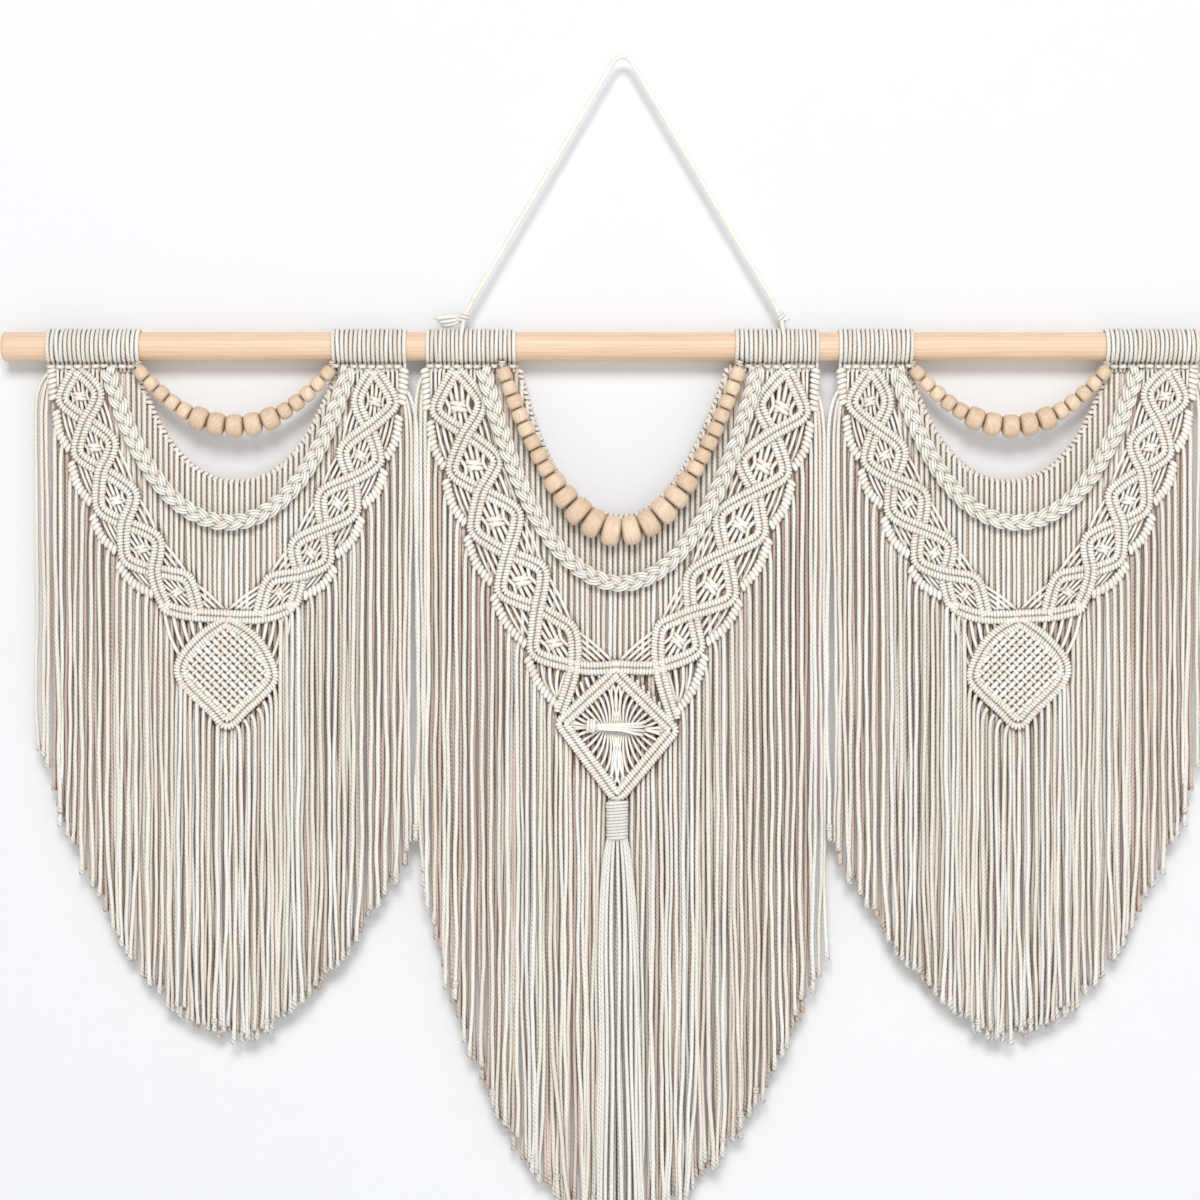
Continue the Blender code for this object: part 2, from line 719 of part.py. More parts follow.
def build_wrap(name, low, high, finish, parts):
    """Cords wrapped side by side round the dowel, as a ridged sleeve turned about its axis."""
    count = max(2, round((high - low) / WRAP_PITCH))
    inner = (DOWEL_RADIUS + GAP) / math.cos(math.pi / WRAP_STEPS)
    outer = DOWEL_RADIUS + WRAP_THICKNESS
    profile = [(low, inner), (low, outer - WRAP_RIDGE / 3)]
    for n in range(2 * count - 1):
        x = low + (high - low) * (n + 1) / (2 * count)
        profile.append((x, outer if n % 2 == 0 else outer - WRAP_RIDGE / 3))
    profile += [(high, outer - WRAP_RIDGE / 3), (high, inner)]
    mesh = bpy.data.meshes.new(name)
    shape = bmesh.new()
    rim = [shape.verts.new((x * MM, 0.0, radius * MM)) for x, radius in profile]
    for a, b in zip(rim, rim[1:] + rim[:1]):
        shape.edges.new((a, b))
    shape.to_mesh(mesh)
    shape.free()
    made = bpy.data.objects.new(name, mesh)
    made.location = place(0.0, 0.0, 0.0)
    bpy.context.scene.collection.objects.link(made)
    turn = made.modifiers.new("turn", "SCREW")
    turn.axis = "X"
    turn.steps = turn.render_steps = WRAP_STEPS
    turn.use_merge_vertices = True
    turn.merge_threshold = 0.0001
    turn.use_normal_calculate = True
    return finished(made, name, finish, parts)


def build_tassel(name, finish, parts, helpers):
    """The wrapped neck and the strands of the tassel under the centre diamond."""
    bottom = CENTRE_PANEL.diamond[2]
    top_z = bottom[1] - BAND_RADIUS * 1.3 - 1.0
    neck_z = top_z - TASSEL_NECK_LENGTH
    rings = [(bottom[0], top_z - n * TASSEL_NECK_LENGTH / 4) for n in range(5)]
    neck = as_mesh(
        tubes("neck", [ridged(rings, TASSEL_Y, 0.93)], TASSEL_NECK[0], 8),
        TASSEL_NECK[1] / TASSEL_NECK[0],
        TASSEL_Y,
    )
    routes = []
    for n in range(TASSEL_STRANDS):
        u = (n + 0.5) / TASSEL_STRANDS * 2 - 1
        y = TASSEL_Y + 2.6 * (1 if n % 2 else -1) * math.sqrt(1 - u * u)
        x0 = bottom[0] + u * (TASSEL_NECK[0] - 2.2)
        x1 = bottom[0] + u * TASSEL_FLARE
        end = CENTRE_PANEL.hem_z - 8.0 + 9.0 * (n % 3) + 10.0 * abs(u)
        routes.append([(x0, y, neck_z + 4.0, 1.0), (x1, y, neck_z - 60.0, 1.0), (x1 * 1.2, y, end, 1.0)])
    return fuse(name, [neck, strands("tassel", routes)], finish, parts, helpers)


def build_tie(name, finish, parts):
    """The bundle of cord that ties the gathered strands across the centre diamond."""
    stations = [(-31.0, 0.7), (-28.0, 1.25), (-24.0, 0.85), (-2.0, 0.95), (19.0, 0.75)]
    route = [(x, TIE_Y, -334.0 - 0.04 * x, swell) for x, swell in stations]
    return finished(as_mesh(tubes(name, [route], 3.0, 6), 0.8, TIE_Y), name, finish, parts)


def build_dowel(finish, parts):
    bpy.ops.mesh.primitive_cylinder_add(
        vertices=DOWEL_SIDES,
        radius=DOWEL_RADIUS * MM,
        depth=DOWEL_LENGTH * MM,
        location=place(0.0, 0.0, 0.0),
        rotation=(0.0, math.pi / 2, 0.0),
    )
    made = bpy.context.object
    chamfer = made.modifiers.new("chamfer", "BEVEL")
    chamfer.width = DOWEL_CHAMFER * MM
    chamfer.segments = 1
    chamfer.limit_method = "ANGLE"
    chamfer.angle_limit = math.radians(60)
    made.data.shade_smooth()
    return finished(made, "dowel", finish, parts)


def build_hanger(finish, parts):
    """The hanging cord: straight from knot to hook on each side, and bent over the hook."""
    top = DOWEL_DROP + HANGER_RADIUS
    foot = (HANGER_KNOT_X - 4.0, HANGER_KNOT_Z + HANGER_KNOT_SIZE[2] + 1.0)
    centre = top - HANGER_BEND
    reach = math.hypot(foot[0], centre - foot[1])
    start = math.atan2(foot[0], centre - foot[1])
    arc = math.pi - start - math.acos(HANGER_BEND / reach)
    bend = []
    for n in range(-3, 4):
        turn = arc * n / 3
        bend.append((HANGER_BEND * math.sin(turn), centre + HANGER_BEND * math.cos(turn)))
    line = [(-foot[0], foot[1])] + bend + [foot]
    route = [(x, 0.0, z, 1.0) for x, z in line]
    made = as_mesh(tubes("hanging_cord", [route], HANGER_RADIUS, 6))
    return finished(made, "hanging_cord", finish, parts)


def build_hanger_loop(name, side, finish, parts, helpers):
    """The loop of cord round the dowel, drawn together in a knot above it."""
    ring = (DOWEL_RADIUS + GAP + STRAND_RADIUS) / math.cos(math.radians(15)) + 0.1
    knot = (side * HANGER_KNOT_X, HANGER_KNOT_Z)
    rise = math.acos(ring / knot[1])
    route = [(knot[0], 1.0, knot[1] - 2.0, 1.0)]
    for n in range(9):
        turn = rise + (2 * math.pi - 2 * rise) * n / 8
        route.append((side * HANGER_LOOP_X, ring * math.sin(turn), ring * math.cos(turn), 1.0))
    route.append((knot[0], -1.0, knot[1] - 2.0, 1.0))
    loop = as_mesh(tubes("loop", [route], STRAND_RADIUS, 4))
    bpy.ops.mesh.primitive_uv_sphere_add(segments=8, ring_count=6, radius=1.0)
    lump = bpy.context.object
    lump.data.transform(Matrix.Diagonal((*(size * MM for size in HANGER_KNOT_SIZE), 1.0)))
    lump.data.transform(Matrix.Translation(place(knot[0], 0.0, knot[1])))
    return fuse(name, [lump, loop], finish, parts, helpers)


def main():
    clear_scene()
    parts = new_collection("macrame_wall_hanging")
    helpers = new_collection("helpers")
    helpers.hide_render = True
    cotton = material("cotton_cord", WOOL, 0.9)
    wood = material("dowel_wood", WOOD, 0.55)
    bead_wood = material("bead_wood", BEAD_WOOD, 0.6)
    build_dowel(wood, parts)
    build_hanger(cotton, parts)
    for name, side in (("hanger_loop_left", -1), ("hanger_loop_right", 1)):
        build_hanger_loop(name, side, cotton, parts, helpers)
    places = (
        ("left", SIDE_PANEL, -PANEL_PITCH, 1),
        ("centre", CENTRE_PANEL, 0.0, 1),
        ("right", SIDE_PANEL, PANEL_PITCH, -1),
    )
    for name, panel, x, mirror in places:
        for n, (low, high) in enumerate(panel.wraps, 1):
            ends = sorted((x + mirror * low, x + mirror * high))
            build_wrap(f"{name}_wrap_{n}", *ends, cotton, parts)
        build_knotwork(f"{name}_knotwork", panel, x, mirror, cotton, parts, helpers)
        build_back(f"{name}_back_fringe", panel, x, mirror, cotton, parts)
        build_braid(f"{name}_braid", panel, x, mirror, cotton, parts)
        bead_y = SIDE_BEAD_Y if panel is SIDE_PANEL else CENTRE_BEAD_Y
        build_beads(f"{name}_beads", panel, bead_y, x, mirror, bead_wood, parts)
    build_tie("centre_tie", cotton, parts)
    build_tassel("centre_tassel", cotton, parts, helpers)


main()
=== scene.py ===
"""Macrame wall hanging: three knotted panels, bead strings, braids and a tassel on a dowel.

Sizes are millimetres, but metres in the settings, the materials and the stage. Places across are
counted from the middle of a panel, y runs from the front (negative) to the wall, and heights are
counted from the axis of the dowel.
"""

import math
from collections import namedtuple
from functools import partial

import bmesh
import bpy
import numpy as np
from bpy.props import FloatProperty, FloatVectorProperty, IntProperty, PointerProperty
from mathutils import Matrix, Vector


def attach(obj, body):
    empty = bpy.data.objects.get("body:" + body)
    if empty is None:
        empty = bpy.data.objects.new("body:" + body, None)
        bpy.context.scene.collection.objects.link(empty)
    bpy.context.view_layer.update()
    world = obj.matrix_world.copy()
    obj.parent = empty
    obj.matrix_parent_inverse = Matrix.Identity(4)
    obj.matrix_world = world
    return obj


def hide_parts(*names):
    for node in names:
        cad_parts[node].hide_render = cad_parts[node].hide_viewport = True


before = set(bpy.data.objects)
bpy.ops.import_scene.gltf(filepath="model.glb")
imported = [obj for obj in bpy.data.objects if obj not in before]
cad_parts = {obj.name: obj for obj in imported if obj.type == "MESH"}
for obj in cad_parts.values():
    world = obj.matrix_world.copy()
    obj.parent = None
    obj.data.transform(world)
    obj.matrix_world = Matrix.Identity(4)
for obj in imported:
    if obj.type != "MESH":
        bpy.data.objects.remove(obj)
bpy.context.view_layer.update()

bl_info = {
    "name": "Macrame wall hanging",
    "version": (1, 0, 0),
    "blender": (4, 5, 0),
    "location": "3D View > Sidebar > Macrame",
    "description": "Builds a knotted cotton wall hanging on a wooden dowel",
    "category": "Add Mesh",
}

MM = 0.001
ACROSS = (1.0, 0.0, 0.0)
BACK = (0.0, 1.0, 0.0)
UP = (0.0, 0.0, 1.0)

# The dowel, the rope that it hangs by, and the layers in which the cords hang.
DOWEL_DROP = 253.0
ROPE_BEND = 9.0
ROPE_FOOT = (132.0, 40.5)
ROPE_KNOT_Z = 26.0
ROPE_LOOP_X = 141.4
TOP_Z = -19.4
CHAIN_TOP_Z = TOP_Z - 1.0
KNOT_Y = -4.0
FRONT_Y = -4.6
EDGE_Y = 0.4
MIDDLE_Y = -1.4
DEEP_Y = 1.7
REAR_Y = -0.8
BRAID_Y = -12.4
SIDE_BEAD_Y = -10.5
CENTRE_BEAD_Y = -15.8
TIE_Y = -10.6
TASSEL_Y = -6.2

# Scallops are the single rows of knots outside each chain, and a column is the upright row at its
# top. The front fringe hangs from both.
SCALLOP_OUT = 5.0
SCALLOP_DOWN = 12.5
SCALLOP_END_OUT = 6.0
SCALLOP_END_DOWN = 2.0
SCALLOP_SAG = 3.0
COLUMN_OUT = 9.0
COLUMN_PITCH = 4.0
COLUMN_STRANDS = 3
# The strands behind the knots: how far they are pressed back, and over what heights.
MIDDLE_PUSH = 3.4
REAR_PUSH = 4.6
KNOTS_REACH = 7.0
KNOTS_ABOVE = 9.0
KNOTS_BELOW = 15.0
KNOTS_EASE = 10.0
# How far the sides of an eye bow out from straight lines between its corners.
CORNER_ROUND = 1.9
# How far a band stands out over a crossing, or back under it, and how far along it that is felt.
CROSSING_OVER = -1.5
CROSSING_UNDER = 1.0
CROSSING_REACH = 9.0
# Where the cords of an eye run across it, from -1 to 1.
EYE_CORDS = np.linspace(-0.62, 0.62, 5)
# The bare cords beside the bands: at what share of the way to the crossing, and how far bowed out.
LINK_BOWS = ((0.05, 4.6), (0.25, 3.5), (0.45, 2.4), (0.65, 1.3), (0.85, 0.4))
CORNER_BOWS = ((0.16, 7.0), (0.38, 5.0), (0.6, 3.0), (0.8, 1.5))
# Distances between the cords above the bar, between those over the first eye and in the weave.
LINK_PITCH = 5.8
ROOF_PITCH = 3.9
WEAVE_PITCH = 5.3
# A strand's points in its bend and in its fall, the one near its middle, and the waves that it
# sways in: the length of each and its share of the sway.
BEND_POINTS = 6
FALL_POINTS = 34
MIDWAY = -20
SWAYS = ((260.0, 1.0), (120.0, 0.5), (55.0, 0.22))
# How thick a strand is at its last points, and a loose fibre from root to tip, in millimetres.
TIP_SWELL = (1.0, 0.92, 1.45)
FIBRE_TAPER = (0.55, 0.45, 0.15)
# How far round its core a hitch goes on each side, in degrees, and how thick the small cords of
# knots are along their arches.
HITCH_TURN = 108.0
HITCH_TAPER = np.array((0.75, 0.95, 1.0, 1.03, 1.0, 0.95, 0.75))
FOOT_TAPER = np.array((0.8, 1.0, 1.06, 1.1, 1.06, 1.0, 0.8))
KNOT_TAPER = np.array((0.8, 1.0, 1.05, 1.1, 1.1, 1.1, 1.05, 1.0, 0.8))
SWAG_POINTS = 121
# About how many strands lie in a bundle, and the share of strands that end in a small knot.
BUNDLE_SIZE = 4
KNOTTED_SHARE = 0.12
# Loose fibres have a tone above this, so that the painted shade where cords hem each other in does
# not darken them.
LOOSE_TONE = 2.0

# A swag hangs between two ends. Tension bends it from a parabola, near 0, to a deep U, at 3,
# and right_tension is for its right half where that hangs differently.
Swag = namedtuple("Swag", "left right depth tension right_tension", defaults=(None,))
# A chain: the x of its top, its eyes, and how its two bands run on under the last eye. A column of
# knots stands beside its first eye, whose strands spread to the side.
Chain = namedtuple("Chain", "side top_x eyes outer_end inner_end scallops spread")
# A row of half hitches: half its width, the distance between hitches, their cord's radius, how far
# they arch to the front, and how far they slant.
Row = namedtuple("Row", "half pitch radius rise slant")
SCALLOP_ROW = Row(2.7, 4.3, 2.3, 1.5, 1.4)
COLUMN_ROW = Row(2.9, 4.6, 2.4, 1.7, 1.2)
EDGE_ROW = Row(2.0, 4.8, 1.85, 1.5, 1.2)
# The lower outline of a fringe on one side: how far out it reaches, how high it rises there.
Hem = namedtuple("Hem", "reach rise power")
# Beads in a row on a string, their diameters running evenly from the first to the last.
Beads = namedtuple("Beads", "count length first last")


class Eye(namedtuple("Eye", "x z half cross_x cross_z")):
    """One eye of a diamond chain: its middle, half its width, and the crossing under it."""

    @property
    def middle(self):
        return np.array((self.x, self.z))

    @property
    def cross(self):
        return np.array((self.cross_x, self.cross_z))


class Panel(
    namedtuple(
        "Panel",
        "name x mirror chains edge braid string beads bead_y wraps diamond "
        "hem_x hem_z hem_left hem_right loose",
    )
):
    """One of the three hangings that share the dowel."""

    @property
    def woven(self):
        """Whether a basket weave fills the diamond, and not gathered cords."""
        return len(self.diamond) > 4


SIDE_LEFT_CHAIN = Chain(
    side=-1,
    top_x=-136.0,
    eyes=[
        Eye(-133.0, -44.0, 16.0, -127.5, -65.0),
        Eye(-120.0, -89.0, 16.0, -113.5, -109.0),
        Eye(-101.0, -135.5, 16.0, -93.5, -155.5),
        Eye(-79.0, -178.0, 16.0, -67.5, -197.0),
        Eye(-48.0, -216.0, 14.5, -31.0, -233.5),
    ],
    outer_end=[(-58.0, -229.0), (-37.0, -235.0), (-1.5, -237.5)],
    inner_end=[(-29.0, -236.0)],
    scallops=4,
    spread=13.0,
)
SIDE_RIGHT_CHAIN = Chain(
    side=1,
    top_x=125.0,
    eyes=[
        Eye(126.5, -48.5, 16.0, 120.5, -71.5),
        Eye(113.5, -96.0, 16.0, 105.5, -117.0),
        Eye(93.5, -138.0, 16.0, 82.0, -160.0),
        Eye(70.0, -181.5, 16.0, 60.0, -200.0),
        Eye(43.0, -217.5, 14.5, 28.0, -233.5),
    ],
    outer_end=[(52.0, -229.0), (36.0, -235.5), (18.0, -238.0), (-4.5, -237.5)],
    inner_end=[(24.0, -237.0)],
    scallops=4,
    spread=11.0,
)
CENTRE_LEFT_CHAIN = Chain(
    side=-1,
    top_x=-146.5,
    eyes=[
        Eye(-144.0, -53.0, 20.4, -137.5, -76.5),
        Eye(-130.0, -104.5, 20.4, -124.0, -127.0),
        Eye(-111.5, -154.0, 20.4, -100.5, -182.0),
        Eye(-88.5, -206.0, 20.4, -74.5, -230.0),
        Eye(-60.0, -260.5, 18.8, -44.5, -282.0),
    ],
    outer_end=[(-46.5, -280.0), (-26.0, -283.0), (-3.5, -281.5)],
    inner_end=[(-43.0, -283.5), (-55.0, -322.0)],
    scallops=5,
    spread=8.0,
)
CENTRE_RIGHT_CHAIN = Chain(
    side=1,
    top_x=144.0,
    eyes=[
        Eye(140.0, -54.0, 20.4, 132.0, -76.5),
        Eye(123.5, -105.5, 20.4, 116.5, -128.0),
        Eye(103.5, -156.5, 20.4, 90.5, -182.0),
        Eye(78.0, -210.5, 20.4, 61.0, -234.0),
        Eye(49.0, -258.5, 18.8, 33.5, -281.0),
    ],
    outer_end=[(36.0, -280.0), (20.0, -282.5), (-7.5, -281.5)],
    inner_end=[(32.5, -283.5), (45.5, -328.0)],
    scallops=5,
    spread=8.0,
)
PANEL_PITCH = 343.5
SIDE_PANEL = Panel(
    name="left",
    x=-PANEL_PITCH,
    mirror=1,
    chains=[SIDE_LEFT_CHAIN, SIDE_RIGHT_CHAIN],
    edge=Swag(-84.0, 92.5, 100.0, 2.2),
    braid=Swag(-108.0, 104.0, 135.5, 2.1),
    string=Swag(-82.0, 89.0, 51.0, 0.5),
    beads=[Beads(5, 12.9, 12.6, 15.0), Beads(5, 16.6, 20.5, 20.5), Beads(5, 12.9, 15.0, 12.6)],
    bead_y=SIDE_BEAD_Y,
    wraps=[(-162.0, -80.0), (88.0, 154.0)],
    diamond=[
        (-5.0, -241.5),
        (-26.7, -257.0),
        (-43.5, -278.0),
        (-40.5, -295.0),
        (-15.5, -320.0),
        (-3.5, -331.0),
        (11.0, -318.0),
        (28.0, -302.0),
        (36.0, -289.0),
        (25.5, -265.0),
        (11.4, -250.5),
    ],
    hem_x=3.0,
    hem_z=-615.0,
    hem_left=Hem(172.0, 248.0, 1.9),
    hem_right=Hem(166.0, 190.0, 1.7),
    loose=[(43.5, -240.0), (48.5, -237.0), (53.5, -233.0), (58.5, -229.0)],
)
CENTRE_PANEL = Panel(
    name="centre",
    x=0.0,
    mirror=1,
    chains=[CENTRE_LEFT_CHAIN, CENTRE_RIGHT_CHAIN],
    edge=Swag(-91.0, 93.0, 130.5, 2.7, 0.1),
    braid=Swag(-122.0, 118.5, 189.0, 1.9),
    string=Swag(-105.5, 102.5, 143.5, 0.7),
    beads=[
        Beads(8, 12.6, 13.0, 15.5),
        Beads(2, 15.2, 19.0, 22.5),
        Beads(3, 16.8, 26.2, 26.4),
        Beads(3, 16.6, 25.8, 24.0),
        Beads(2, 15.2, 22.0, 19.5),
        Beads(8, 12.6, 15.0, 13.0),
    ],
    bead_y=CENTRE_BEAD_Y,
    wraps=[(-172.5, -147.0), (-139.0, -93.5), (98.5, 139.0), (147.0, 172.5)],
    diamond=[(-6.0, -286.5), (-54.0, -331.0), (-4.8, -396.5), (44.6, -337.0)],
    hem_x=2.0,
    hem_z=-772.0,
    hem_left=Hem(178.0, 292.0, 2.5),
    hem_right=Hem(198.0, 285.0, 1.9),
    loose=[],
)
# The wraps beside the tops of the centre chains, which belong to the runs next to them.
CHAIN_TOP_WRAPS = [(-147.0, -143.3), (143.3, 147.0)]
PANELS = [
    SIDE_PANEL,
    CENTRE_PANEL,
    SIDE_PANEL._replace(name="right", x=PANEL_PITCH, mirror=-1),
]


# Lines


def smooth(points, steps=8):
    """The smooth curve through the points, cut into a number of steps between each two."""
    p = np.array(points, float)
    a, b, c, d = np.vstack((p[:1], p[:-2])), p[:-1], p[1:], np.vstack((p[2:], p[-1:]))
    t = (np.arange(1, steps + 1) / steps)[:, None, None]
    line = (
        b
        + 0.5 * (c - a) * t
        + 0.5 * (2 * a - 5 * b + 4 * c - d) * t**2
        + 0.5 * (3 * b - a - 3 * c + d) * t**3
    )
    return np.vstack((p[:1], line.transpose(1, 0, 2).reshape(-1, p.shape[1])))


def turns(count):
    """The angles of that many points round a circle."""
    return np.arange(count) / count * math.tau


def unit(vectors):
    return vectors / np.linalg.norm(vectors, axis=-1, keepdims=True)


def ahead_of(lines, closed=False):
    """Unit vectors along a line, or along each one of several."""
    if closed:
        return unit(np.roll(lines, -1, -2) - np.roll(lines, 1, -2))
    return unit(np.gradient(lines, axis=-2))


def length_of(line):
    return np.linalg.norm(np.diff(line, axis=0), axis=1).sum()


def reach_along(line):
    """How far each point of a line is from its start, measured along the line."""
    return np.concatenate(([0.0], np.cumsum(np.linalg.norm(np.diff(line, axis=0), axis=1))))


def divided(line, count):
    """The line cut into a number of equal lengths: one point more than that."""
    line = np.asarray(line, float)
    reach = reach_along(line)
    at = np.linspace(0.0, reach[-1], count + 1)
    return np.column_stack([np.interp(at, reach, line[:, k]) for k in range(line.shape[1])])


def spaced(line, step):
    """The line again, with points about step apart."""
    return divided(line, max(1, round(length_of(line) / step)))


def bowed(start, control, end, count):
    """A curve from start to end that is drawn towards the control point."""
    start, control, end = (np.asarray(p, float) for p in (start, control, end))
    t = np.linspace(0.0, 1.0, count)[:, None]
    return start * (1 - t) ** 2 + control * 2 * t * (1 - t) + end * t**2


def at_depth(line, y):
    """A line of (x, z) made one of (x, y, z)."""
    line = np.asarray(line, float)
    return np.column_stack((line[:, 0], np.broadcast_to(y, len(line)), line[:, 1]))


def swag_line(swag):
    """Points close together down the middle of a swag, as (x, z)."""
    u = np.linspace(-1.0, 1.0, SWAG_POINTS)
    tension = np.where(u > 0, swag.right_tension or swag.tension, swag.tension)
    share = (np.cosh(tension) - np.cosh(tension * u)) / (np.cosh(tension) - 1)
    x = (swag.right + swag.left) / 2 + (swag.right - swag.left) / 2 * u
    return np.column_stack((x, TOP_Z - swag.depth * share))


def top_of(chain, n):
    """The crossing above eye n, or the top of the chain."""
    return chain.eyes[n - 1].cross if n else np.array((chain.top_x, CHAIN_TOP_Z))


def bulge(chain, n, outward):
    """The middle of a band beside eye n, on the outer side of the chain where outward is 1."""
    eye = chain.eyes[n]
    along = eye.cross - top_of(chain, n)
    across = np.array((-along[1], along[0])) / np.hypot(*along)
    return eye.middle + across * chain.side * outward * eye.half


def band_line(chain, outer):
    """The middle line of one band of a chain. The bands swap sides at each crossing."""
    knots = [top_of(chain, 0)]
    for n, eye in enumerate(chain.eyes):
        corner = bulge(chain, n, 1 if outer == (n % 2 == 0) else -1)
        out = corner - eye.middle
        out *= CORNER_ROUND / np.hypot(*out)
        knots += [(knots[-1] + corner) / 2 + out, corner]
        if n < len(chain.eyes) - 1:
            knots += [(corner + eye.cross) / 2 + out, eye.cross]
    return smooth(knots + (chain.outer_end if outer else chain.inner_end), 5)


def crossing_lift(chain, outer, line):
    """How far a band stands to the front along its line: out over a crossing, or back under it."""
    lift = np.zeros(len(line))
    for n, eye in enumerate(chain.eyes[:-1]):
        inward = outer == (n % 2 == 0)
        over = inward == (chain.side > 0)
        away = np.hypot(line[:, 0] - eye.cross_x, line[:, 1] - eye.cross_z)
        height = CROSSING_OVER if over else CROSSING_UNDER
        lift += height * np.exp(-((away / CROSSING_REACH) ** 2))
    return lift


def scallop_line(chain, n):
    """The outer row of knots from beside eye n to beside the next, or to the diamond's corner."""
    eye = chain.eyes[n]
    start = (eye.x + chain.side * (eye.half + SCALLOP_OUT), eye.z - SCALLOP_DOWN)
    if n + 1 < len(chain.eyes):
        below = chain.eyes[n + 1]
        end = (below.x + chain.side * (below.half + SCALLOP_END_OUT), below.z - SCALLOP_END_DOWN)
    else:
        end = (chain.inner_end[-1][0] + chain.side * 1.5, chain.inner_end[-1][1] + 6.0)
    sag = (
        (start[0] + end[0]) / 2 + chain.side * SCALLOP_SAG,
        (start[1] + end[1]) / 2 - SCALLOP_SAG,
    )
    return smooth([start, sag, end])


def column_line(chain):
    """The short upright row of knots beside the first eye."""
    eye = chain.eyes[0]
    x = eye.x + chain.side * (eye.half + COLUMN_OUT)
    return np.array([(x, TOP_Z + 0.4), (x - 1.5 * chain.side, eye.z - 3.0)])


def diamond_sides(panel):
    """The rows under the lower sides of a side panel's diamond, from its corners to its tip."""
    tip = min(panel.diamond, key=lambda corner: corner[1])
    for corner, side in ((min(panel.diamond), -1), (max(panel.diamond), 1)):
        start = (corner[0] + side * 2.0, corner[1] - 6.0)
        end = (tip[0] + side * 4.5, tip[1] - 4.0)
        middle = ((start[0] + end[0]) / 2 + side * 3.5, (start[1] + end[1]) / 2 - 3.0)
        yield side, smooth([start, middle, end])


def hem_at(panel, x):
    """How far down the fringe reaches at x."""
    x = np.asarray(x, float)
    out = np.abs(x - panel.hem_x)
    left, right = (
        panel.hem_z + hem.rise * (out / hem.reach) ** hem.power
        for hem in (panel.hem_left, panel.hem_right)
    )
    return np.where(x < panel.hem_x, left, right)


# Cords


